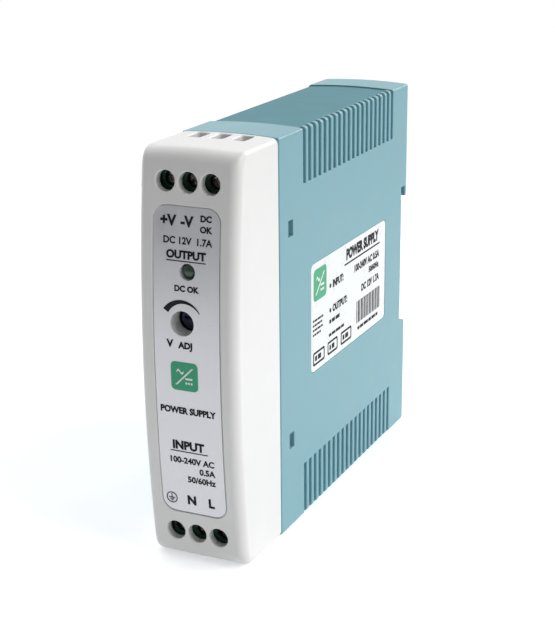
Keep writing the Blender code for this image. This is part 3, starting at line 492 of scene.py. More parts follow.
# Every finish by the name of its material slot, with the few extra ones the looks need
FINISHES = {
    "housing": plastic(TEAL, 0.42, grain=0.22, depth=0.004, tone=0.025, dust=0.05),
    "cover": plastic(WHITE, 0.36, depth=0.003, tone=0.012, dust=0.04),
    "front_label": metal((0.66, 0.66, 0.69), 0.34, depth=0.003, tone=0.02, metallic=0.5, coat=0.15),
    "side_label": plastic((0.8, 0.815, 0.82), 0.3, grain=0.3, depth=0.002, tone=0.015, coat=0.2),
    "ink": plastic(INK, 0.6, depth=0.002, tone=0.2, specular=0.12),
    "green_print": plastic((0.015, 0.35, 0.17), 0.4, depth=0.002, tone=0.06),
    "white_print": plastic((0.85, 0.88, 0.86), 0.4, depth=0.002, tone=0.03),
    "latch": plastic((0.03, 0.03, 0.033), 0.42, grain=0.25, tone=0.12, dust=0.12),
    "spring_steel": metal((0.55, 0.55, 0.56), 0.26, grain=0.1, depth=0.003),
    "insulation": plastic((0.72, 0.72, 0.66), 0.34, grain=0.5, depth=0.004, tone=0.04, transmission=0.15),
    "terminal_body": plastic((0.008, 0.045, 0.026), 0.48, depth=0.006, tone=0.12, dust=0.08),
    "lens": plastic((0.03, 0.08, 0.055), 0.2, grain=0.4, depth=0.003, tone=0.04, coat=0.1,
                    transmission=0.2),
    "led": plastic((0.25, 0.6, 0.3), 0.25, grain=0.3, depth=0.003, tone=0.04, coat=0.5),
    "trimmer": plastic((0.03, 0.07, 0.3), 0.4),
    "trimmer_rotor": plastic((0.02, 0.022, 0.06), 0.38, depth=0.006, tone=0.15, dust=0.1),
    "header": plastic((0.05, 0.05, 0.05), 0.45, tone=0.12),
    "ferrite": plastic((0.05, 0.048, 0.047), 0.62, grain=0.12, depth=0.012, tone=0.2, dust=0.12),
    "component_black": plastic((0.02, 0.02, 0.021), 0.55, grain=0.14, depth=0.01, tone=0.2, dust=0.08),
    "winding_tape": plastic((0.72, 0.5, 0.05), 0.28, grain=0.5, depth=0.006, tone=0.08, coat=0.4),
    "capacitor_sleeve": plastic((0.025, 0.03, 0.06), 0.3, grain=0.4, depth=0.006, tone=0.15, coat=0.25),
    "film_capacitor": plastic((0.62, 0.5, 0.06), 0.42, depth=0.006, tone=0.06),
    "disc_blue": plastic((0.02, 0.11, 0.42), 0.4, grain=0.35, depth=0.015, coat=0.1),
    "disc_green": plastic((0.02, 0.16, 0.08), 0.42, grain=0.35, depth=0.015),
    "enamelled_wire": metal((0.72, 0.27, 0.11), 0.26, grain=0.2, metallic=0.9, coat=0.5),
    "fuse": plastic((0.09, 0.06, 0.035), 0.4, grain=0.3, depth=0.006, tone=0.12),
    "heatsink": metal((0.78, 0.79, 0.8), 0.32, depth=0.006, factors=(1.0, DRAWN_ALONG_Y, 1.0)),
    "screw_steel": metal((0.5, 0.485, 0.45), 0.26, grain=0.1, tone=0.1, dust=0.08),
    "cage_steel": metal((0.72, 0.7, 0.66), 0.28, grain=0.15, depth=0.006,
                        factors=(1.0, ROLLED_ALONG_Y, 1.0)),
    "contact_metal": metal((0.78, 0.76, 0.72), 0.22, depth=0.003),
    "solder": metal((0.72, 0.73, 0.74), 0.2, grain=0.25, depth=0.008),
    "silver_top": metal((0.75, 0.76, 0.77), 0.34, grain=0.2),
    "tan_ceramic": plastic((0.42, 0.29, 0.16), 0.4, grain=0.3, depth=0.006, tone=0.04),
}
# How much darker the vent band floors are painted than the housing teal: painted shade
BAND_PAINTED_SHADE = 0.78


def board_look():
    """Green solder mask with faint copper tracks showing through and the glass weave under it."""
    finish = Finish("circuit_board")
    thread_size, track_spacing, patch_size, smear_size = 0.35, 4.5, 9.0, 2.0
    dark_mask, light_mask, track = (0.006, 0.075, 0.026), (0.009, 0.1, 0.036), (0.010, 0.125, 0.042)
    across = finish.noise(thread_size, factors=(1, 1, 0.3))
    along = finish.noise(thread_size, factors=(1, 0.3, 1))
    weave = finish.arithmetic("MULTIPLY", across, along)
    tracks = finish.remap(finish.cell_edges(track_spacing), 0.05, 0.08, 0.0, 1.0)
    mask = finish.blend(finish.noise(patch_size, detail=3.0), rgba(dark_mask), rgba(light_mask))
    smears = finish.noise(smear_size, detail=3.0)
    finish.feed(finish.shader, {
        "Base Color": finish.blend(tracks, mask, rgba(track)),
        "Roughness": finish.remap(smears, NOISE_LOW, NOISE_HIGH, 0.22, 0.42),
        "Normal": finish.relief(weave, 0.012, finish.relief(tracks, 0.03)),
        "Coat Weight": 0.3,
    })
    return finish.material


def make_looks():
    """Every finish as a material, with a rougher copy of the housing plastic for the vent band floors,
    darker in colour as painted shade, and the circuit board.
    """
    looks = {name: surface(name, **settings) for name, settings in FINISHES.items()}
    # Vent band floors: a rougher, less shiny teal, whose darker colour is painted shade
    looks["housing_band"] = surface("housing_band", shade(TEAL, BAND_PAINTED_SHADE), 0.75, grain=0.25, depth=0.01,
                                    tone=0.05, dust=0.06, specular=0.12)
    looks["circuit_board"] = board_look()
    return looks


# ---------------------------------------------------------------------------------------------
# Housing
# ---------------------------------------------------------------------------------------------

def s_profile(depth, lip, fillet, steps=3):
    """(along, depth) points over a rounded lip, down a wall and round a fillet to the floor."""
    angles = arc_steps(steps)
    over_lip = [(-lip + lip * math.sin(a), lip * (1 - math.cos(a))) for a in angles]
    to_floor = [(fillet * (1 - math.cos(a)), depth - fillet + fillet * math.sin(a)) for a in angles]
    return over_lip + to_floor


def quarter_sections():
    """The upper right quarter of the housing's outline, four times with matching points.

    Each runs from the side up and in to the middle of the top, as (x, z): a collar, where the
    casing has its full size, a rib, which rounds over into the sunk band, a groove, and the
    plain left edge of the band.
    """
    band_z = HEIGHT - BAND_DEPTH
    groove_x = HALF_W - GROOVE_DEPTH
    tip_x = HALF_W - RIB_TIP
    blind = s_profile(GROOVE_DEPTH, GROOVE_LIP, GROOVE_FILLET)
    first_z, last_z = GROOVE_END_Z - GROOVE_LIP, GROOVE_END_Z + GROOVE_FILLET
    collar, rib, groove, plain = ([(HALF_W, MID_Z)] for _ in range(4))
    for i, (along, depth) in enumerate(blind):
        z = first_z + (last_z - first_z) * i / (len(blind) - 1)
        collar.append((HALF_W, z))
        rib.append((HALF_W, z))
        plain.append((HALF_W, z))
        groove.append((HALF_W - depth, GROOVE_END_Z + along))
    rims = ((collar, HALF_W, HEIGHT, HOUSING_EDGE), (plain, HALF_W, band_z, HOUSING_EDGE),
            (rib, HALF_W, HEIGHT, RIB_ROUND), (groove, groove_x, band_z, GROOVE_CORNER))
    for a in arc_steps(6):
        for outline, side, top, edge in rims:
            outline.append((side - edge * (1 - math.cos(a)), top - edge * (1 - math.sin(a))))
    drop = s_profile(BAND_DEPTH, BAND_LIP, BAND_FILLET)
    end_x = tip_x - 0.3
    for i, (along, depth) in enumerate(drop):
        share = (i + 1) / len(drop)
        flat_x = HALF_W - HOUSING_EDGE + (end_x - HALF_W + HOUSING_EDGE) * share
        collar.append((flat_x, HEIGHT))
        plain.append((flat_x, band_z))
        rib.append((tip_x - along, HEIGHT - depth))
        corner_x = groove_x - GROOVE_CORNER
        groove.append((corner_x + (end_x - corner_x) * share, band_z))
    floor_steps = 6
    for i in range(1, floor_steps + 1):
        x = end_x * (1 - i / floor_steps)
        collar.append((x, HEIGHT))
        for outline in (rib, groove, plain):
            outline.append((x, band_z))
    return collar, rib, groove, plain


def whole_ring(quarter, left_quarter):
    """Quarter outlines for the right and the left, mirrored down into a closed, crowned ring."""
    def drop(x, z, depth):
        return crown_at(x, depth) * max(0.0, (z - GROOVE_END_Z) / (HEIGHT - GROOVE_END_Z))

    def crowned(x, z):
        return x, z - drop(x, z, TOP_CROWN)

    def footed(x, z):
        return x, HEIGHT - z + drop(x, z, FOOT_CROWN)

    right = [crowned(x, z) for x, z in quarter]
    left = [(-x, z) for x, z in (crowned(x, z) for x, z in left_quarter[-2::-1])]
    lower_left = [(-x, z) for x, z in (footed(x, z) for x, z in left_quarter[1:])]
    lower_right = [footed(x, z) for x, z in quarter[-2:0:-1]]
    return right + left + lower_left + lower_right


def between(ring_a, ring_b, share):
    """A ring part of the way from one matching ring to another."""
    pairs = zip(ring_a, ring_b)
    return [(xa + (xb - xa) * share, za + (zb - za) * share) for (xa, za), (xb, zb) in pairs]


def inset_ring(ring, side, top):
    """A ring scaled about the casing's middle so that its sides and its top move in."""
    scale_x, scale_z = (HALF_W - side) / HALF_W, (MID_Z - top) / MID_Z
    return [(x * scale_x, MID_Z + (z - MID_Z) * scale_z) for x, z in ring]


def housing_rings():
    """All rings of the housing's skin as (y, ring), from its inner floor out and round to the rear."""
    floor_thickness, roof_thickness, rear_drop = 6.4, 2.8, 0.9
    collar, rib, groove, plain = quarter_sections()
    collar, rib, groove = whole_ring(collar, collar), whole_ring(rib, plain), whole_ring(groove, plain)
    inside = inset_ring(collar, WALL, roof_thickness)
    rings = [(y, inside) for y in (REAR_Y - floor_thickness, HOUSING_FRONT + 2.0, HOUSING_FRONT)]
    for a in arc_steps(4):
        inset = SEAM_EDGE * (1 - math.sin(a))
        rings.append((HOUSING_FRONT + SEAM_EDGE * (1 - math.cos(a)), inset_ring(collar, inset, inset)))
    wall = s_profile(1.0, GROOVE_LIP, GROOVE_FILLET)
    for i in range(GROOVES):
        start = BAND_START + i * GROOVE_PITCH
        end = start + GROOVE_WIDTH
        before = collar if i == 0 else rib
        after = collar if i == GROOVES - 1 else rib
        rings += [(start + along, between(before, groove, depth)) for along, depth in wall]
        rings += [(end - along, between(after, groove, depth)) for along, depth in wall[::-1]]
    for a in arc_steps(6):
        side, top = REAR_EDGE * (1 - math.cos(a)), rear_drop * (1 - math.cos(a))
        rings.append((REAR_Y - REAR_EDGE + REAR_EDGE * math.sin(a), inset_ring(collar, side, top)))
    return rings


def rail_recess_cutter():
    """The rail's space across the width, with rounded inner corners and rounded side edges."""
    seat_y, step_z, lip_z, hook_top = REAR_Y - 4.5, 28.2, 61.1, 63.7
    beyond = REAR_Y + 2
    floor_y, hook_y = seat_y - 0.2, seat_y + 2.5
    seat_bottom, seat_top = 31.4, 60.9
    lip_edge = REAR_Y - 0.4
    seat_r, inner_r, outer_r = 0.08, 0.4, 0.5
    corners = [(floor_y, step_z + 0.7, inner_r), (REAR_Y - 0.3, step_z - 0.7, outer_r),
               (beyond, step_z - 0.9, 0), (beyond, lip_z + beyond - lip_edge, 0),
               (lip_edge, lip_z, outer_r), (hook_y, lip_z, 0.35), (hook_y, hook_top, inner_r),
               (floor_y, hook_top, inner_r), (floor_y, seat_top, seat_r), (seat_y, seat_top, seat_r),
               (seat_y, seat_bottom, seat_r), (floor_y, seat_bottom, seat_r)]
    outline = [corner[:2] for corner in corners]
    radii = [corner[2] for corner in corners]
    bm = bmesh.new()
    sections = []
    levels = flare(0.4)
    for side, run in ((-1, levels), (1, levels[::-1])):
        for depth, growth in run:
            section = rounded(grown(outline, growth), radii)
            sections.append([(side * (HALF_W - depth), y, z) for y, z in section])
    loft(bm, sections)
    return make_object("rail_recess", bm)


def snap_windows():
    """Cutters for the two windows in each side wall that the cover's barbs click into."""
    made = []
    for side in (-1, 1):
        for number, z in enumerate(SNAP_ZS):
            spans = (around(SNAP_Y, SNAP_LENGTH / 2), around(z, SNAP_HEIGHT / 2))
            name = f"snap_window_{side}_{number}"
            made.append(flared_box(name, "X", side * HALF_W, side, spans, 2.4, 0.15, 0.2))
    return made


def latch_channel_steps():
    """The T-shaped channel for the latch, the slot for its nose and the ledge for its spring."""
    flange, neck = FLANGE_HALF + CLEARANCE, NECK_HALF + CLEARANCE
    back, rear = LATCH_BACK - CLEARANCE, LATCH_BACK + LATCH_FLANGE + CLEARANCE
    top = LATCH_SHOULDER + CLEARANCE
    half = [(flange, back), (flange, rear), (neck, rear), (neck, REAR_Y - 0.3), (neck + 0.5, REAR_Y + 0.2),
            (neck + 0.5, REAR_Y + 1)]
    outline = half + [(-x, y) for x, y in half[::-1]]
    channel = plain_prism("latch_channel", outline, "Z", -1.0, top)
    nose = rectangle(-neck + 0.1, neck - 0.1, REAR_Y - 3.3, REAR_Y + 1.5)
    slot = plain_prism("nose_slot", nose, "Z", top - 1, 31.2)
    shelf = rounded(rectangle(-1.5, 1.5, back - 0.5, LATCH_BACK + 2.0), 0.3)
    ledge = plain_prism("spring_ledge", shelf, "Z", 7.4, 9.2)
    return cuts(channel, slot) + [("UNION", ledge)]


def make_housing(looks):
    """Housing, lofted as one skin from its inner floor to its rear wall and then cut.

    The floors of the vent bands get a rougher, less shiny copy of the housing plastic, darker in colour as
    painted shade.
    """
    bm = bmesh.new()
    loft(bm, [[(x, y, z) for x, z in ring] for y, ring in housing_rings()])
    bmesh.ops.remove_doubles(bm, verts=bm.verts[:], dist=0.002)
    housing = make_object("housing_body", bm)
    (y0, z0), (y1, z1) = SIDE_LABEL_LOW, SIDE_LABEL_HIGH
    gap = 0.2
    spans = ((y0 - gap, y1 + gap), (z0 - gap, z1 + gap))
    recess = flared_box("side_label_recess", "X", HALF_W, 1, spans, 0.25, 0.08, 1.5)
    steps = cuts(rail_recess_cutter(), *snap_windows()) + latch_channel_steps() + cuts(recess)
    carry_out(housing, *steps)
    housing.data.materials.append(looks["housing"])
    housing.data.materials.append(looks["housing_band"])
    # Flat faces of the sunk vent band floors take the second material, whose darker colour is painted shade
    for face in housing.data.polygons:
        c = face.center / MM
        top_drop = HEIGHT - crown_at(c.x, TOP_CROWN) - c.z
        foot_rise = c.z - crown_at(c.x, FOOT_CROWN)
        sunk = 0.6 * BAND_DEPTH < min(top_drop, foot_rise) < 2 * BAND_DEPTH
        flat = abs(face.normal.z) > 0.9 and c.x < HALF_W - GROOVE_DEPTH
        if sunk and flat and BAND_START < c.y < BAND_END:
            face.material_index = 1
    round_shading(housing)
    belongs(housing, replaces=["housing_shell"])


# ---------------------------------------------------------------------------------------------
# Front cover
# ---------------------------------------------------------------------------------------------

BOW_SLOPE_ANGLE = math.atan(2 * COVER_BOW * (MID_Z - COVER_CORNER) / MID_Z ** 2)
COVER_RING_Y = COVER_REAR - 2.0


def round_inset(distance, radius):
    """How far a rounded edge has dropped at a distance in from the side."""
    if distance >= radius:
        return 0.0
    return radius - math.sqrt(radius ** 2 - (radius - distance) ** 2)


def cover_profile(x, front_inset, low, high, corner_y, corner_z):
    """Side view of the cover at one x, from its lower rear edge round the front to its upper one."""
    last_angle = math.pi / 2 - BOW_SLOPE_ANGLE
    corner_steps, bow_steps = 9, 36
    end_rise = corner_z * (1 - math.cos(last_angle))
    lower, upper = [], []
    for i in range(corner_steps + 1):
        angle = last_angle * i / corner_steps
        rise = corner_z * (1 - math.cos(angle))
        reach = front_inset + corner_y * (math.sin(last_angle) - math.sin(angle))
        lower.append((front_face_y(low + end_rise) + reach, low + rise))
        upper.append((front_face_y(high - end_rise) + reach, high - rise))
    start_z, end_z = lower[-1][1], upper[-1][1]
    bow = []
    for i in range(1, bow_steps):
        z = start_z + (end_z - start_z) * i / bow_steps
        bow.append((front_face_y(z) + front_inset, z))
    outline = [(COVER_RING_Y, low)] + lower + bow + upper[::-1] + [(COVER_RING_Y, high)]
    return [(x, y, z) for y, z in outline]


def cover_skin(bm, half_w, wall, corner, edge_front, edge_top):
    """One skin of the cover, open at the rear. Returns the ring of vertices at its open end."""
    drops = [edge_front * (1 - math.cos(a)) for a in arc_steps(10)]
    middle = half_w - edge_front
    crown_steps = 8
    places = [(half_w - d, d) for d in drops]
    places += [(middle - 2 * middle * i / crown_steps, edge_front) for i in range(1, crown_steps)]
    places += [(d - half_w, d) for d in drops[::-1]]
    rows = []
    for x, distance in places:
        front = round_inset(distance, edge_front)
        top = round_inset(distance, edge_top)
        corner_y = max(corner - front, 0.4)
        corner_z = max(corner - top, 0.4)
        low = wall + top + crown_at(x, FOOT_CROWN)
        high = HEIGHT - wall - top - crown_at(x, TOP_CROWN)
        rows.append(vertex_ring(bm, cover_profile(x, wall + front, low, high, corner_y, corner_z)))
    for row, following in zip(rows, rows[1:]):
        for k in range(len(row) - 1):
            bm.faces.new((row[k], row[k + 1], following[k + 1], following[k]))
    bm.faces.new(rows[0])
    bm.faces.new(rows[-1])
    return [row[0] for row in rows] + [row[-1] for row in rows[::-1]]


def further_ring(bm, ring, y, half_w, inset):
    """The ring again at another y, moved in on all sides."""
    scale = (half_w - inset) / half_w
    points = []
    for vertex in ring:
        step = inset if vertex.co.z < MID_Z else -inset
        points.append((vertex.co.x * scale, y, vertex.co.z + step))
    return vertex_ring(bm, points)


def cover_body():
    bm = bmesh.new()
    outer = cover_skin(bm, HALF_W, 0.0, COVER_CORNER, COVER_EDGE_FRONT, COVER_EDGE_TOP)
    inner = cover_skin(bm, INNER_W, WALL, HOLLOW_CORNER, 0.6, 0.6)
    rings = [outer]
    for a in arc_steps(4):
        inset = SEAM_EDGE * (1 - math.cos(a))
        y = COVER_REAR - SEAM_EDGE * (1 - math.sin(a))
        rings.append(further_ring(bm, outer, y, HALF_W, inset))
    rings.append(further_ring(bm, inner, COVER_REAR, INNER_W, 0.0))
    rings.append(inner)
    skin(bm, rings)
    return make_object("cover_body", bm)


def bowed_plate(name, layers, look=None):
    """A plate or cutter that follows the bow. Its layers are (depth, growth), from front to back."""
    bm = bmesh.new()
    rings = []
    corner_steps, straight_steps = 8, 40
    for depth, growth in layers:
        half_w, low, high = LABEL_HALF_W + growth, LABEL_BOTTOM - growth, LABEL_TOP + growth
        corner = LABEL_CORNER + growth
        levels = [(low + corner * (1 - math.cos(a)), half_w - corner * (1 - math.sin(a)))
                  for a in arc_steps(corner_steps)]
        upper = [(low + high - z, w) for z, w in levels[::-1]]
        run = high - low - 2 * corner
        straight = [(low + corner + run * i / straight_steps, half_w) for i in range(1, straight_steps)]
        chain = levels + straight + upper
        right = [(w, front_face_y(z) + depth, z) for z, w in chain]
        left = [(-w, front_face_y(z) + depth, z) for z, w in chain[::-1]]
        rings.append(vertex_ring(bm, right + left))
    skin(bm, rings)
    for ring in (rings[0], rings[-1]):
        for i in range(len(ring) // 2 - 1):
            bm.faces.new((ring[i], ring[i + 1], ring[-2 - i], ring[-1 - i]))
    return make_object(name, bm, look)


def snap_hook(side, middle):
    """A tongue on the cover's inner wall with a barb that clicks into the housing's window."""
    root_y = COVER_REAR - 3.0
    slide = INNER_W - CLEARANCE
    inside = INNER_W - 1.3
    start, end = SNAP_Y - 0.9, SNAP_Y + 0.9
    outline = [(inside, root_y), (INNER_W + 0.5, root_y), (INNER_W + 0.5, root_y + 2.6),
               (slide, root_y + 2.6), (slide, start), (slide + 0.5, start), (slide, end),
               (slide - 0.4, end + 1.5), (inside, end + 1.5)]
    mirrored = [(side * x, y) for x, y in outline]
    low, high = around(middle, SNAP_HEIGHT / 2 - CLEARANCE)
    return plain_prism(f"snap_hook_{side}_{middle:.0f}", mirrored, "Z", low, high)


# Where the wire entries lie along Y, and half their width
WIRE_FRONT, WIRE_REAR = FRONT_Y + 14.4, FRONT_Y + 19.9
WIRE_HALF = 1.55


def make_cover(looks):
    """White front cover with its openings, label recess, trimmer sleeve and snap hooks."""
    cover = cover_body()
    gap, sleeve_r, screw_mouth, small_mouth = 0.24, 3.6, 0.3, 0.1
    recess = [(d, g + gap) for d, g in flare(0.16)] + [(LABEL_RECESS + 0.05, gap)]
    steps = cuts(bowed_plate("label_recess", recess))
    outline = circle((TRIM_X, TRIM_Z), sleeve_r, 48)
    steps.append(("UNION", plain_prism("trim_sleeve", outline, "Y", FRONT_Y + 1.0, FRONT_Y + 4.0)))
    for z in SCREW_ZS:
        for x in POLES:
            steps += cuts(mouth_cutter("screw_hole", (x, z), SCREW_HOLE_R, screw_mouth, 4.0))
    steps += cuts(mouth_cutter("led_hole", (LED_X, LED_Z), LED_HOLE_R, small_mouth, 4.0),
                  mouth_cutter("trim_hole", (TRIM_X, TRIM_Z), TRIM_HOLE_R, small_mouth, 5.0))
    for sign, face in ((1, HEIGHT - 0.1), (-1, 0.0)):
        for x in POLES:
            spans = (around(x, WIRE_HALF), (WIRE_FRONT, WIRE_REAR))
            steps += cuts(flared_box("wire_entry", "Z", face, sign, spans, WALL + 1.0, 0.35, 0.7))
    steps += [("UNION", snap_hook(side, middle)) for side in (-1, 1) for middle in SNAP_ZS]
    carry_out(cover, *steps)
    cover.data.materials.append(looks["cover"])
    round_shading(cover)
    belongs(cover, replaces=["front_cover"])


# ---------------------------------------------------------------------------------------------
# Labels and legends
# ---------------------------------------------------------------------------------------------

FILM_FRONT = 0.1
SIDE_FILM_TOP = 0.05
PRINT_HEIGHT = 0.02
INK_SPREAD = 0.025
SAME_POINT = 0.0005


def legend(bm, words, size, centre, align="CENTER", weight=0.0, stretch=1.0):
    """Add a line of text to bm, flat in (across, up, thickness), with a closed body for each letter."""
    curve = bpy.data.curves.new("legend", "FONT")
    curve.body = words
    curve.size = size
    curve.align_x = align
    curve.align_y = "CENTER"
    curve.offset = weight + INK_SPREAD
    curve.extrude = PRINT_HEIGHT / 2
    curve.resolution_u = 3
    holder = add_object("legend", curve)
    graph = bpy.context.evaluated_depsgraph_get()
    mesh = bpy.data.meshes.new_from_object(holder.evaluated_get(graph))
    place = Matrix.Translation((centre[0], centre[1], PRINT_HEIGHT / 2))
    mesh.transform(place @ Matrix.Diagonal((stretch, 1, 1, 1)))
    bm.from_mesh(mesh)
    bpy.data.objects.remove(holder)
    bpy.data.curves.remove(curve)
    bpy.data.meshes.remove(mesh)


def stroke(bm, outline):
    """Add a printed shape: an outline of (across, up) points with the print's thickness."""
    loft(bm, [[(a, b, height) for a, b in outline] for height in (0.0, PRINT_HEIGHT)])


def bar(bm, a0, a1, b0, b1):
    stroke(bm, rectangle(a0, a1, b0, b1))


def frame_stroke(bm, outer, inner):
    """A printed frame between two outlines with the same number of points."""
    sections = []
    for (xo, yo), (xi, yi) in zip(outer, inner):
        sections.append([(xi, yi, 0.0), (xo, yo, 0.0), (xo, yo, PRINT_HEIGHT), (xi, yi, PRINT_HEIGHT)])
    loft(bm, sections, closed=True)


def ring_stroke(bm, centre, outer, inner, sides=36):
    """A printed ring: a closed band between two circles."""
    frame_stroke(bm, circle(centre, outer, sides), circle(centre, inner, sides))


def trim_arrow():
    """The tapering arc over the trimmer, thick at its left end."""
    radius, middle = 4.55, (TRIM_X + 0.15, TRIM_Z + 0.05)
    start, end, count = 148, 32, 24
    outer, inner = [], []
    for i in range(count + 1):
        share = i / count
        angle = math.radians(start + (end - start) * share)
        half = 0.62 * (1 - share) + 0.06
        for edge, reach in ((outer, radius + half), (inner, radius - half)):
            edge.append((middle[0] + reach * math.cos(angle), middle[1] + reach * math.sin(angle)))
    return outer + inner[::-1]


def earth_symbol(bm, centre, radius):
    """Protective earth: a stem over three shorter and shorter bars, in a ring."""
    ring_stroke(bm, centre, radius, radius * 0.84)
    line = radius * 0.07
    bar(bm, centre[0] - line, centre[0] + line, centre[1] + radius * 0.1, centre[1] + radius * 0.72)
    for i, reach in enumerate((0.56, 0.37, 0.18)):
        up = centre[1] - radius * 0.27 * i
        bar(bm, centre[0] - radius * reach, centre[0] + radius * reach, up - line, up + line)


def front_legends(bm):
    """What the front label says, from the output's terminals down to the input's."""
    legend(bm, "+V", 3.0, (-4.25, 75.4), weight=0.1, stretch=0.98)
    legend(bm, "-V", 3.0, (0.0, 75.4), weight=0.1, stretch=0.98)
    legend(bm, "DC", 1.75, (4.3, 76.3), weight=0.05)
    legend(bm, "OK", 1.75, (4.3, 74.1), weight=0.05)
    legend(bm, "DC 12V", 2.0, (-2.1, 71.5), weight=0.03, stretch=0.96)
    legend(bm, "1.7A", 2.0, (3.9, 71.5), weight=0.03, stretch=0.96)
    legend(bm, "OUTPUT", 2.25, (-0.1, 68.65), weight=0.08)
    bar(bm, -4.5, 4.4, 67.3, 67.5)
    legend(bm, "DC OK", 1.7, (0.0, 61.7), weight=0.05)
    stroke(bm, trim_arrow())
    legend(bm, "V", 2.2, (-3.9, 49.9), weight=0.07)
    legend(bm, "ADJ", 1.9, (-0.3, 49.75), weight=0.06)
    legend(bm, "POWER SUPPLY", 1.95, (-0.3, 35.4), weight=0.06, stretch=0.93)
    legend(bm, "INPUT", 2.6, (-0.6, 27.45), weight=0.09)
    bar(bm, -4.8, 3.9, 26.0, 26.2)
    legend(bm, "100-240V AC", 1.9, (5.3, 24.0), align="RIGHT", weight=0.035)
    legend(bm, "0.5A", 1.9, (5.3, 21.85), align="RIGHT", weight=0.035)
    legend(bm, "50/60Hz", 1.9, (5.3, 19.7), align="RIGHT", weight=0.035)
    earth_symbol(bm, (-5.35, 14.75), 1.3)
    legend(bm, "N", 2.8, (-0.6, 14.7), weight=0.1)
    legend(bm, "L", 2.8, (4.0, 14.7), weight=0.1)


def converter_symbol(bm, centre, size, ground):
    """A generic AC to DC mark: a wave over a diagonal over two bars. ground is the rounded plate."""
    plate = rectangle(*around(centre[0], size), *around(centre[1], size))
    stroke(ground, rounded(plate, size * 0.32, 8))
    line = size * 0.07
    marks = bmesh.new()
    left, right = around(centre[0], size * 0.62)
    foot, head = around(centre[1], size * 0.62)
    stroke(marks, [(left - line, foot), (left + line, foot), (right + line, head), (right - line, head)])
    wave_x, wave_y, reach = centre[0] - size * 0.3, centre[1] + size * 0.32, size * 0.26
    wave_steps = 16
    upper, lower = [], []
    for i in range(wave_steps + 1):
        x = wave_x - reach + 2 * reach * i / wave_steps
        y = wave_y + size * 0.12 * math.sin(math.tau * i / wave_steps)
        upper.append((x, y + line))
        lower.append((x, y - line))
    stroke(marks, lower + upper[::-1])
    bars_x, bars_y = centre[0] + size * 0.34, centre[1] - size * 0.3
    bar(marks, bars_x - reach, bars_x + reach, bars_y + line * 1.2, bars_y + line * 3.2)
    for i in range(3):
        start = bars_x - reach + i * reach * 0.75
        bar(marks, start, start + reach * 0.5, bars_y - line * 3.2, bars_y - line * 1.2)
    bmesh.ops.translate(marks, vec=(0, 0, PRINT_HEIGHT), verts=marks.verts[:])
    mesh = bpy.data.meshes.new("marks")
    marks.to_mesh(mesh)
    marks.free()
    bm.from_mesh(mesh)
    bpy.data.meshes.remove(mesh)


def on_front(across, up, height):
    """Where a point of a print comes to lie on the bowed front label."""
    return across, front_face_y(up) + FILM_FRONT - height, up


def on_side(along, up, height):
    """Where a point of a print comes to lie on the side label."""
    return HALF_W - SIDE_FILM_TOP + height, along, up


def lay_prints(side, looks, ink, mark_centre, mark_size, place):
    """Lay a label's legends, and its two-coloured mark, on its film."""
    ground, lines = bmesh.new(), bmesh.new()
    converter_symbol(lines, mark_centre, mark_size, ground)
    prints = ((f"{side}_legends", ink, "ink"), (f"{side}_mark_ground", ground, "green_print"),
              (f"{side}_mark_lines", lines, "white_print"))
    for name, bm, look in prints:
        bmesh.ops.remove_doubles(bm, verts=bm.verts[:], dist=SAME_POINT)
        for vertex in bm.verts:
            vertex.co = place(*vertex.co)
        belongs(make_object(name, bm, looks[look]))


def make_front_label(looks):
    """The silver film in the cover's recess, with holes for the lamp and the trimmer, and its print."""
    layers = [(FILM_FRONT + 0.04, -0.04), (FILM_FRONT, 0.0), (LABEL_RECESS - 0.02, 0.0)]
    film = bowed_plate("front_film", layers, looks["front_label"])
    holes = cuts(mouth_cutter("film_led_hole", (LED_X, LED_Z), LED_HOLE_R, 0.02, 2.0),
                 mouth_cutter("film_trim_hole", (TRIM_X, TRIM_Z), TRIM_HOLE_R, 0.02, 2.0))
    carry_out(film, *holes)
    belongs(round_shading(film), replaces=["front_label"])
    ink = bmesh.new()
    front_legends(ink)
    lay_prints("front", looks, ink, (-0.76, 43.1), 3.1, on_front)


def greeked_line(bm, start, end, up, height, words):
    """A line of print too small to read: short blocks with gaps."""
    length = end - start
    cursor = start
    for i in range(words):
        share = (0.7 + 0.6 * ((i * 7) % 5) / 4) / words
        stop = min(end, cursor + length * share)
        if stop - cursor > height * 0.5:
            bar(bm, cursor, stop - height * 0.45, up - height / 2, up + height / 2)
        cursor = stop


def side_legends(bm):
    """Heading, ratings and small print, placed from the label's front edge."""
    y = SIDE_LABEL_LOW[0]
    legend(bm, "POWER SUPPLY", 3.4, (y + 30.9, 55.3), weight=0.2, stretch=0.86)
    bar(bm, y + 19.5, y + 42.3, 53.0, 53.4)
    ratings = ((50.6, "INPUT:", "100-240V AC 0.5A"), (44.7, "OUTPUT:", "DC 12V 1.7A"))
    for up, words, value in ratings:
        stroke(bm, circle((y + 11.0, up), 0.55, 12))
        legend(bm, words, 2.3, (y + 12.4, up), align="LEFT", weight=0.11, stretch=0.92)
        legend(bm, value, 2.3, (y + 41.9, up), align="RIGHT", weight=0.1, stretch=0.92)
    legend(bm, "50/60Hz", 1.9, (y + 41.6, 48.0), align="RIGHT", weight=0.08)
    for i, end in enumerate((7.2, 6.6, 7.0, 5.8)):
        greeked_line(bm, y + 0.9, y + end, 44.8 - 1.1 * i, 0.5, 4)
    greeked_line(bm, y + 10.4, y + 17.0, 42.0, 0.9, 3)
    greeked_line(bm, y + 10.2, y + 20.0, 38.8, 0.7, 4)
    stripes = 17
    pitch = 15.8 / stripes
    for i in range(stripes):
        start = y + 27.3 + i * pitch
        bar(bm, start, start + pitch * (0.45 + 0.25 * (i % 2)), 36.6, 42.1)
    greeked_line(bm, y + 28.0, y + 42.5, 35.2, 0.8, 6)
    for low, high in ((1.0, 7.6), (9.4, 15.4), (17.4, 24.0)):
        outer = rounded(rectangle(y + low, y + high, 34.1, 37.3), 0.5)
        inner = rounded(rectangle(y + low + 0.5, y + high - 0.5, 34.6, 36.8), 0.3)
        frame_stroke(bm, outer, inner)
        greeked_line(bm, y + low + 1.1, y + high - 0.8, 35.7, 1.2, 2)


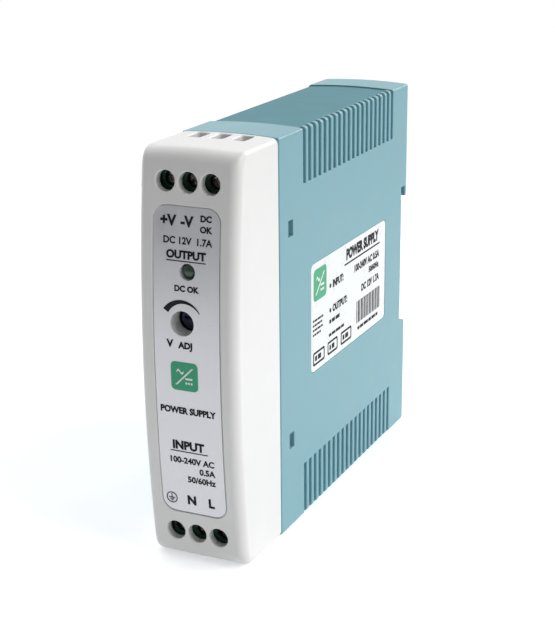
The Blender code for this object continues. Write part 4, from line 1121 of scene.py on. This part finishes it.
def make_side_label(looks):
    """The pale film on the right side, with a softened rim, and its print."""
    (y0, z0), (y1, z1) = SIDE_LABEL_LOW, SIDE_LABEL_HIGH
    bm = bmesh.new()
    sections = []
    for sunk, growth in ((0.24, 0.0), (0.08, 0.0), (SIDE_FILM_TOP, -0.03)):
        outline = rounded(grown(rectangle(y0, y1, z0, z1), growth), 1.3, 6)
        sections.append([(HALF_W - sunk, y, z) for y, z in outline])
    loft(bm, sections)
    film = round_shading(make_object("side_film", bm, looks["side_label"]))
    belongs(film, replaces=["side_label"])
    ink = bmesh.new()
    side_legends(ink)
    lay_prints("side", looks, ink, (y0 + 5.0, 52.9), 3.7, on_side)


# ---------------------------------------------------------------------------------------------
# Indicator, trimmer and terminal screws
# ---------------------------------------------------------------------------------------------

def turned(name, centre, axis, profile, sides, look=None):
    """A solid of revolution. profile is (distance along the axis, radius); it may start or end at 0."""
    bm = bmesh.new()
    rings = []
    for along, radius in profile:
        points = circle(centre, radius, sides) if radius else [centre]
        rings.append(vertex_ring(bm, [on_axis(axis, along, a, b) for a, b in points]))
    for ring, following in zip(rings, rings[1:]):
        for i in range(sides):
            j = (i + 1) % sides
            corners = (ring[i % len(ring)], ring[j % len(ring)], following[j % len(following)],
                       following[i % len(following)])
            bm.faces.new(tuple(dict.fromkeys(corners)))
    for ring in (rings[0], rings[-1]):
        if len(ring) > 1:
            bm.faces.new(ring)
    return make_object(name, bm, look)


def rim_points(level, side, radius, edge, steps=5):
    """Profile points over a rounded rim, from the body's side to the end face at a level.

    side is the sign of the way from the end face into the body.
    """
    return [(level + side * edge * (1 - math.sin(a)), radius - edge * (1 - math.cos(a)))
            for a in arc_steps(steps)]


def tube(bm, path, radius, sides):
    """A round tube along a path of points, turned as little as possible from ring to ring."""
    sections = []
    across = None
    for i, point in enumerate(path):
        before = path[max(i - 1, 0)]
        after = path[min(i + 1, len(path) - 1)]
        along = (Vector(after) - Vector(before)).normalized()
        if across is None:
            helper = Vector((0, 0, 1)) if abs(along.z) < 0.9 else Vector((1, 0, 0))
            across = along.cross(helper).normalized()
        across = (across - along * across.dot(along)).normalized()
        other = along.cross(across)
        rim = circle((0.0, 0.0), radius, sides)
        sections.append([Vector(point) + across * a + other * b for a, b in rim])
    loft(bm, sections)


def make_indicator(looks):
    """A domed light pipe behind the front, with a flange and a long stem down to the LED."""
    low, high = node_box("led_light_pipe")
    radius = (high.x - low.x) / 2
    tip = front_face_y(LED_Z) + 0.35
    dome_height, stem_r = 0.8, radius - 0.12
    dome = [(tip + dome_height * (1 - math.cos(a)), radius * math.sin(a)) for a in arc_steps(8)]
    stem = [(tip + 1.6, radius), (tip + 1.75, stem_r), (high.y - 0.1, stem_r), (high.y, radius - 0.3)]
    pipe = round_shading(turned("light_pipe", (LED_X, LED_Z), "Y", dome + stem, 40, looks["lens"]))
    belongs(pipe, replaces=["led_light_pipe"])


def make_trimmer_rotor(looks):
    """The trimmer's knob: a shallow dish with a screwdriver slot and a pointer notch at its rim."""
    low, high = node_box("trimmer_rotor")
    knob_r = (high.x - low.x) / 2
    dish = 0.18
    profile = [(low.y + dish, 0), (low.y + dish, knob_r - 0.75), (low.y + 0.03, knob_r - 0.6)]
    profile += rim_points(low.y, 1, knob_r, 0.3)[::-1]
    profile += [(low.y + 1.2, knob_r), (low.y + 1.3, knob_r - 0.1), (low.y + 1.3, 1.95)]
    profile += [(high.y - 2.1, 1.9), (high.y - 2.1, 2.2), (high.y - 2.0, 2.3), (high.y - 0.1, 2.3),
                (high.y, 2.2)]
    rotor = turned("trimmer_knob", (TRIM_X, TRIM_Z), "Y", profile, 48, looks["trimmer_rotor"])
    spans = (around(TRIM_X, 1.65), around(TRIM_Z, 0.33))
    slot = flared_box("rotor_slot", "Y", low.y + dish, -1, spans, 0.8, 0.1, 0.12)
    spans = (around(TRIM_X, 0.2), (TRIM_Z + knob_r - 0.7, TRIM_Z + knob_r + 0.4))
    notch = flared_box("pointer_notch", "Y", low.y, -1, spans, 0.5, 0.05, 0.1)
    carry_out(rotor, *cuts(slot, notch))
    belongs(round_shading(rotor), "trimmer_rotor", ["trimmer_rotor"])


THREAD_PITCH = 0.5
THREAD_CORE_R = 1.2
THREAD_CREST_R = 1.36
SCREW_SIDES = 36
SCREW_TURNS = (14, -22, 38, 8, -35, 24)


def threaded_shank(bm, start, end):
    """A threaded rod along Y, as rows that follow the helix. The thread fades out at both ends."""
    rows = []
    steps_a_turn = 8
    height = THREAD_CREST_R - THREAD_CORE_R
    tip_fade, head_fade, tip_length, tip_taper = 0.8, 0.3, 0.4, 0.25
    count = int((end - start) / THREAD_PITCH * steps_a_turn)
    for i in range(count + 1):
        y = start + (end - start) * i / count
        fade = max(0.0, min(1.0, (end - y) / tip_fade, (y - start) / head_fade))
        core = THREAD_CORE_R - tip_taper * (1 - min(1.0, (end - y) / tip_length))
        row = []
        for k in range(SCREW_SIDES):
            phase = (y / THREAD_PITCH - k / SCREW_SIDES) % 1.0
            radius = core + height * fade * min(1.0, 1.6 * (1 - abs(2 * phase - 1)))
            angle = math.tau * k / SCREW_SIDES
            row.append((radius * math.cos(angle), y, radius * math.sin(angle)))
        rows.append(row)
    loft(bm, rows)


def screw_mesh():
    """An M3 clamp screw at x 0, z 0: a domed head with a slot and a shorter cross slot, and a thread."""
    low, high = node_box("screw_output_minus")
    head_r = (high.x - low.x) / 2
    head_end = low.y + 1.7
    dome = [(low.y + 0.22 * (r / head_r) ** 2, r) for r in (0, 0.5, 1.0, head_r - 0.4)]
    rim = rim_points(low.y + 0.2, 1, head_r, 0.3)[::-1]
    head = dome + rim + [(head_end - 0.1, head_r), (head_end, head_r - 0.1)]
    screw = turned("screw_head", (0.0, 0.0), "Y", head, SCREW_SIDES)
    slot, arm = 0.28, 1.0
    slots = []
    for half_x, half_z, depth in ((head_r + 0.5, slot, 0.85), (slot, arm, 0.8)):
        spans = (around(0.0, half_x), around(0.0, half_z))
        slots.append(flared_box("driver_slot", "Y", low.y + 0.1, -1, spans, depth, 0.06, 0.05))
    bm = bmesh.new()
    threaded_shank(bm, head_end - 0.3, high.y)
    carry_out(screw, *cuts(*slots), ("UNION", make_object("shank", bm)))
    mesh = screw.data
    bpy.data.objects.remove(screw)
    return mesh


def make_screws(looks):
    """The six clamp screws, each turned by its own angle."""
    mesh = screw_mesh()
    mesh.materials.append(looks["screw_steel"])
    names = [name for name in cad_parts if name.startswith("screw_")]
    for number, name in enumerate(sorted(names)):
        low, high = node_box(name)
        turn = Matrix.Rotation(math.radians(SCREW_TURNS[number]), 4, "Y")
        place = Matrix.Translation(((low.x + high.x) / 2 * MM, 0.0, (low.z + high.z) / 2 * MM))
        own = mesh.copy()
        own.transform(place @ turn)
        screw = add_object(f"clamp_{name}", own)
        belongs(round_shading(screw), name, [name])


# ---------------------------------------------------------------------------------------------
# Rail latch and its spring
# ---------------------------------------------------------------------------------------------

# Edges whose faces turn by more than this are rounded
EDGE_ANGLE = math.radians(40)


def round_edges(piece, width):
    """Round every edge sharper than EDGE_ANGLE, leaving the mesh itself alone."""
    bevel = piece.modifiers.new("rounded_edges", "BEVEL")
    bevel.width = width * MM
    bevel.segments = 3
    bevel.limit_method = "ANGLE"
    bevel.angle_limit = EDGE_ANGLE
    bevel.harden_normals = True
    piece.data.shade_smooth()


def make_latch(looks):
    """The CAD latch with a screwdriver slot near its foot and grip lines across its back."""
    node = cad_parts["din_latch"]
    mesh = node.data.copy()
    mesh.transform(node.matrix_world)
    mesh.materials.clear()
    mesh.materials.append(looks["latch"])
    latch = add_object("latch_body", mesh)
    rear = node_box("din_latch")[1].y
    slot_spans = (around(0.0, 3.2), (3.4, 5.4))
    cutters = [flared_box("driver_slot", "Y", rear, 1, slot_spans, 1.7, 0.15, 0.4)]
    grip_lines, grip_start, grip_pitch, grip_width = 5, 9.0, 1.7, 0.6
    for i in range(grip_lines):
        z = grip_start + grip_pitch * i
        spans = (around(0.0, 4.3), (z, z + grip_width))
        cutters.append(flared_box("grip_line", "Y", rear, 1, spans, 0.4, 0.1, 0.25))
    carry_out(latch, *cuts(*cutters))
    round_edges(latch, 0.25)
    belongs(latch, "din_latch", ["din_latch"])


def make_spring(looks):
    """Round wire coiled from the ledge up to the latch, with closed ends."""
    low, high = node_box("latch_spring")
    wire, steps = 0.25, 28
    coil = (high.x - low.x) / 2 - wire
    axis_y = (high.y + low.y) / 2
    total, closed, closed_pitch = 7, 1.0, 2.2 * wire
    bottom, top = low.z + wire, high.z - wire
    path = []
    for i in range(total * steps + 1):
        turns = i / steps
        share = min(1.0, max(0.0, (turns - closed) / (total - 2 * closed)))
        rise = closed_pitch * (min(turns, closed) + max(0.0, turns - (total - closed)))
        z = bottom + rise + share * (top - bottom - 2 * closed_pitch)
        angle = math.tau * turns
        path.append((coil * math.cos(angle), axis_y + coil * math.sin(angle), z))
    bm = bmesh.new()
    tube(bm, path, wire, 10)
    spring = round_shading(make_object("latch_coil", bm, looks["spring_steel"]))
    belongs(spring, replaces=["latch_spring"])
    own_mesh(spring)


# ---------------------------------------------------------------------------------------------
# Parts inside the casing
# ---------------------------------------------------------------------------------------------

def can_top(looks, name, axis, side, centre, radius, face):
    """A capacitor's bare end: a slight bulge with a cross scored into it."""
    bulge = face + side * 0.1
    profile = [(face - side * 0.35, radius), (face, radius), (bulge, radius - 0.3), (bulge, 0.6),
               (face, 0)]
    top = turned(f"{name}_top", centre, axis, profile, 48, looks["silver_top"])
    arm, line = radius * 0.75, 0.1
    for half_a, half_b in ((arm, line), (line, arm)):
        spans = (around(centre[0], half_a), around(centre[1], half_b))
        carry_out(top, *cuts(flared_box("score", axis, bulge, side, spans, 0.12, 0.03, 0.05)))
    belongs(round_shading(top))


def capacitor_cans(looks):
    """The electrolytic capacitors: a sleeved can with a crimp at its foot and a bare, scored end."""
    cans = (("bulk_capacitor", "Y", -1), ("output_capacitor_1", "X", 1), ("output_capacitor_2", "X", 1))
    crimp_rise, crimp_half, crimp_depth, crimp_steps = 2.2, 0.9, 0.35, 8
    for name, axis, side in cans:
        low, high = node_box(name)
        middle = (low + high) / 2
        if axis == "Y":
            centre, radius, face, foot = (middle.x, middle.z), (high.x - low.x) / 2, low.y, high.y
        else:
            centre, radius, face, foot = (middle.y, middle.z), (high.y - low.y) / 2, high.x, low.x
        top_r = radius - 0.75
        can_top(looks, name, axis, side, centre, top_r, face)
        sunk = face - side * 0.4
        profile = [(sunk, 0), (sunk, top_r + 0.02), (face - side * 0.02, top_r + 0.05)]
        profile += rim_points(face, -side, radius, 0.6, 6)[::-1]
        for k in range(crimp_steps + 1):
            a = math.pi * k / crimp_steps
            profile.append((foot + side * (crimp_rise + crimp_half * math.cos(a)),
                            radius - crimp_depth * math.sin(a)))
        profile += rim_points(foot, side, radius, 0.5)
        profile += [(foot, radius - 1.1), (foot, 0)]
        sleeve = turned(f"{name}_sleeve", centre, axis, profile, 48, looks["capacitor_sleeve"])
        belongs(round_shading(sleeve), replaces=[name])


def squircle(value):
    """Turns a circle's coordinate into that of a rounded square."""
    squareness = 0.55
    return math.copysign(abs(value) ** squareness, value)


def choke_turns(looks):
    """Both windings of the choke as real turns of enamelled wire round the ferrite ring."""
    low, high = node_box("choke_core")
    middle = (low + high) / 2
    wire, turns, steps = 0.36, 9, 24
    lead_in, winding_span = 6, 118
    outer = (high.y - low.y) / 2
    half_core, half_x = 1.6, (high.x - low.x) / 2
    ring_r, air = outer - half_core, 0.08
    for number, start in ((1, 25), (2, 205)):
        path = []
        for i in range(turns * steps + 1):
            spread = math.radians(start + lead_in + winding_span * i / (turns * steps))
            phase = math.tau * i / steps
            away = squircle(math.cos(phase)) * (half_core + wire + air)
            side = squircle(math.sin(phase)) * (half_x + wire + air)
            y = middle.y + (ring_r + away) * math.cos(spread)
            z = middle.z + (ring_r + away) * math.sin(spread)
            path.append((middle.x + side, y, z))
        bm = bmesh.new()
        tube(bm, path, wire, 8)
        name = f"choke_winding_{number}"
        winding = round_shading(make_object(f"{name}_wire", bm, looks["enamelled_wire"]), 60)
        belongs(winding, replaces=[name])


LEADED_PARTS = (
    "bulk_capacitor", "output_capacitor_1", "output_capacitor_2", "x_capacitor", "y_capacitor", "varistor",
    "inrush_thermistor", "fuse", "bridge_rectifier", "output_inductor", "optocoupler",
    "transformer_bobbin", "choke_core",
)
LEAD_INSET = 1.2
# A cone of solder, as (height above the board, radius)
SOLDER_CONE = ((0.02, 0.85), (0.12, 0.6), (0.3, 0.36), (0.52, 0.24), (0.58, 0.12))


def solder_joints(looks):
    """Cones of solder on the back of the main board, under the leads of the parts it carries."""
    board_low = node_box("main_board")[0]
    spots = []
    for name in LEADED_PARTS:
        low, high = node_box(name)
        inset_y = min(LEAD_INSET, (high.y - low.y) / 4)
        inset_z = min(LEAD_INSET, (high.z - low.z) / 4)
        for y in (low.y + inset_y, high.y - inset_y):
            for z in (low.z + inset_z, high.z - inset_z):
                spots.append((y, z))
    bm = bmesh.new()
    for spot in spots:
        loft(bm, [[(board_low.x - rise, a, b) for a, b in circle(spot, radius, 14)]
                  for rise, radius in SOLDER_CONE])
    joints = round_shading(make_object("solder_joints", bm, looks["solder"]), 50)
    belongs(joints)


def part_leads(looks):
    """Tinned leads from the coated discs and the bridge rectifier down to the main board."""
    board_top = node_box("main_board")[1].x
    bm = bmesh.new()
    lead_counts = {"varistor": 2, "inrush_thermistor": 2, "y_capacitor": 2, "bridge_rectifier": 4}
    lead_r, steps, gap = 0.28, 4, 0.05
    for name, count in lead_counts.items():
        low, high = node_box(name)
        middle_y = (low.y + high.y) / 2
        span = (high.z - low.z) * (0.5 if count == 2 else 0.76)
        foot = (high.x - low.x) * 0.2 if count == 2 else 0.3
        for i in range(count):
            z = (low.z + high.z) / 2 + span * (i / (count - 1) - 0.5)
            length = low.x + foot - board_top
            path = [(board_top + gap + length * k / steps, middle_y, z) for k in range(steps + 1)]
            tube(bm, path, lead_r, 10)
    leads = round_shading(make_object("part_leads", bm, looks["solder"]))
    belongs(leads)


def ic_legs(looks):
    """Gull-wing legs along both sides of the controller."""
    low, high = node_box("controller_ic")
    board_top = node_box("main_board")[1].x + 0.05
    bm = bmesh.new()
    legs, thick = 4, 0.2
    for side, edge in ((-1, low.z), (1, high.z)):
        for i in range(legs):
            y = low.y + (high.y - low.y) * (i + 0.5) / legs
            shoulder = low.x + 0.7
            outline = [(-0.1, shoulder), (0.35, shoulder), (0.5, board_top + thick),
                       (1.0, board_top + thick), (1.0, board_top), (0.3, board_top),
                       (0.2, shoulder - thick), (-0.1, shoulder - thick)]
            loft(bm, [[(x, level, edge + side * out) for out, x in outline] for level in around(y, 0.2)])
    belongs(make_object("controller_legs", bm, looks["solder"]))


CHIP_PITCH_Y, CHIP_PITCH_Z = 4.3, 3.7
CHIP_LENGTH, CHIP_WIDTH, CHIP_HEIGHT, CHIP_END = 2.0, 1.25, 0.55, 0.4
CHIP_ROOM = 1.7
TINNING = 0.02
BOARD_MARGIN = 3
BOARD_UNCROWDED = ("main_board", "insulation_sheet", "housing_shell", "side_label")


def free_spots():
    """Places on the main board, on a loose grid, with room for a small part."""
    board_low, board_high = node_box("main_board")
    taken = []
    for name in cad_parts:
        low, high = node_box(name)
        if name not in BOARD_UNCROWDED:
            taken.append((low.y - CHIP_ROOM, high.y + CHIP_ROOM, low.z - CHIP_ROOM, high.z + CHIP_ROOM))
    rim = 4
    rows = int((board_high.z - board_low.z - rim) / CHIP_PITCH_Z)
    columns = int((board_high.y - board_low.y - rim) / CHIP_PITCH_Y)
    spots = []
    for row in range(rows):
        for column in range(columns):
            y = board_low.y + BOARD_MARGIN + column * CHIP_PITCH_Y + 0.5 * math.sin(row * 2.3)
            z = board_low.z + BOARD_MARGIN + row * CHIP_PITCH_Z + 0.4 * math.sin(column * 1.7)
            if not any(y0 < y < y1 and z0 < z < z1 for y0, y1, z0, z1 in taken):
                spots.append((y, z))
    return [spot for number, spot in enumerate(spots) if number * 7 % 5 < 3]


def chip_block(bm, levels, y, z, upright, start, end, half):
    """A block between two levels over the board, from start to end along the chip's length."""
    if upright:
        outline = rectangle(*around(y, half), z + start, z + end)
    else:
        outline = rectangle(y + start, y + end, *around(z, half))
    loft(bm, [[(x, a, b) for a, b in rounded(outline, 0.08, 2)] for x in levels])


def surface_parts(looks):
    """Chip resistors and chip capacitors soldered flat on the main board, with tinned ends."""
    board_top = node_box("main_board")[1].x
    reach = CHIP_LENGTH / 2
    bodies = {"component_black": bmesh.new(), "tan_ceramic": bmesh.new()}
    ends = bmesh.new()
    for number, (y, z) in enumerate(free_spots()):
        upright = number % 3 == 0
        kind, extra = ("tan_ceramic", 0.25) if number % 2 else ("component_black", 0.0)
        low, half = board_top + 0.04, CHIP_WIDTH / 2
        high = low + CHIP_HEIGHT + extra
        inner = reach - CHIP_END
        chip_block(bodies[kind], (low, high), y, z, upright, -inner, inner, half)
        for start, end in ((-reach, -inner), (inner, reach)):
            chip_block(ends, (low, high + TINNING), y, z, upright, start, end, half + TINNING)
    for name, bm in bodies.items():
        belongs(make_object(f"chips_{name}", bm, looks[name]))
    belongs(make_object("chip_ends", ends, looks["solder"]))


# ---------------------------------------------------------------------------------------------
# Stage, light and camera
# ---------------------------------------------------------------------------------------------

# Strength of the surround on matt surfaces, and where polished ones mirror what is before the front
AMBIENT = 0.18
DARK_SIDE = 0.25

# The paper: its emission as a light and as it is seen, and its radius
PAPER_GLOW = 0.14
PAPER_WHITE = 0.42
PAPER_RADIUS = 330.0


def sun(name, azimuth, elevation, strength, spread, colour):
    """A distant soft box. Azimuth is from the front towards +X; all angles are in degrees."""
    lamp = bpy.data.lights.new(name, "SUN")
    lamp.energy = strength
    lamp.angle = math.radians(spread)
    lamp.color = colour
    holder = add_object(name, lamp)
    a, e = math.radians(azimuth), math.radians(elevation)
    towards_light = Vector((math.sin(a) * math.cos(e), -math.cos(a) * math.cos(e), math.sin(e)))
    holder.rotation_euler = towards_light.to_track_quat("Z", "Y").to_euler()


def make_surround():
    """White where it is seen, dim as a light, and darker towards the front where it is mirrored."""
    world = bpy.data.worlds.new("surround")
    world.use_nodes = True
    nodes = Nodes(world.node_tree)
    background = nodes.tree.nodes["Background"]
    rays = nodes.tree.nodes.new("ShaderNodeLightPath").outputs
    direction = nodes.add("ShaderNodeTexCoord", {}, "Generated")
    rearward = nodes.add("ShaderNodeSeparateXYZ", {"Vector": direction}, "Y")
    mirrored = nodes.remap(rearward, -0.8, 0.2, DARK_SIDE, 1.0, interpolation_type="SMOOTHSTEP")
    strength = nodes.blend(rays["Is Glossy Ray"], 1.0, mirrored, "FLOAT")
    strength = nodes.blend(rays["Is Diffuse Ray"], strength, AMBIENT, "FLOAT")
    nodes.feed(background, {"Color": rgba((1.0, 1.0, 1.0)), "Strength": strength})
    bpy.context.scene.world = world


def make_stage():
    """A round sheet of white paper, a pale surround and distant soft boxes."""
    bm = bmesh.new()
    bm.faces.new(vertex_ring(bm, [(x, y, 0.0) for x, y in circle((0.0, 0.0), PAPER_RADIUS, 96)]))
    paper = surface("paper", (0.88, 0.885, 0.89), 0.7, grain=0.4, depth=0.002, tone=0.003, specular=0.2)
    nodes = Nodes(paper.node_tree)
    lighting = nodes.add("ShaderNodeLightPath", {}, "Is Diffuse Ray")
    glow = nodes.remap(lighting, 0.0, 1.0, PAPER_WHITE, PAPER_GLOW)
    shader = nodes.tree.nodes["Principled BSDF"]
    nodes.feed(shader, {"Emission Color": rgba((0.96, 0.98, 1.0)), "Emission Strength": glow})
    make_object("floor", bm, paper)
    make_surround()
    sun("key", azimuth=97, elevation=35, strength=1.98, spread=50, colour=(1.0, 0.995, 0.985))
    sun("fill", azimuth=-120, elevation=50, strength=1.33, spread=60, colour=(0.97, 0.985, 1.0))
    sun("edge_light", azimuth=160, elevation=26, strength=0.8, spread=24, colour=(0.97, 1.0, 1.0))


CAMERA_AZIMUTH = math.radians(24.84)
CAMERA_ELEVATION = math.radians(17.87)
CAMERA_ROLL = math.radians(-0.52)
CAMERA_PLACE = (0.1357, -0.2990, 0.1465)
CAMERA_LENS = 82.8


def make_camera():
    """A long lens a little to the right of the front and above it."""
    lens = bpy.data.cameras.new("camera")
    lens.lens = CAMERA_LENS
    lens.clip_start = 0.01
    camera = add_object("camera", lens)
    turn = Matrix.Rotation(CAMERA_AZIMUTH, 4, "Z")
    turn = turn @ Matrix.Rotation(math.pi / 2 - CAMERA_ELEVATION, 4, "X")
    turn = turn @ Matrix.Rotation(CAMERA_ROLL, 4, "Z")
    camera.matrix_world = Matrix.Translation(CAMERA_PLACE) @ turn
    bpy.context.scene.camera = camera
    bpy.context.scene.view_settings.view_transform = "Standard"


# ---------------------------------------------------------------------------------------------
# The whole object
# ---------------------------------------------------------------------------------------------

# How far the edges of the CAD nodes that stay are rounded, by material slot
EDGES = {
    "terminal_body": 0.15, "header": 0.15, "ferrite": 0.35, "component_black": 0.2, "winding_tape": 0.5,
    "film_capacitor": 0.5, "trimmer": 0.25, "cage_steel": 0.12, "contact_metal": 0.08, "heatsink": 0.15,
    "circuit_board": 0.1, "insulation": 0.05, "led": 0.15, "disc_blue": 0.5, "disc_green": 0.5, "fuse": 0.3,
    "screw_steel": 0.12,
}


def dress_frame_nodes(looks):
    """Give each CAD node its finish, and round the edges of those that stay."""
    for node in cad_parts.values():
        slot = node.data.materials[0].name
        node.data.materials[0] = looks[slot]
        if slot in EDGES and not node.hide_render:
            round_edges(node, EDGES[slot])


def main():
    looks = make_looks()
    for make in (make_housing, make_cover, make_front_label, make_side_label, make_indicator,
                 make_trimmer_rotor, make_screws, make_latch, make_spring, capacitor_cans, choke_turns,
                 solder_joints, part_leads, ic_legs, surface_parts, dress_frame_nodes):
        make(looks)
    make_stage()
    make_camera()


main()
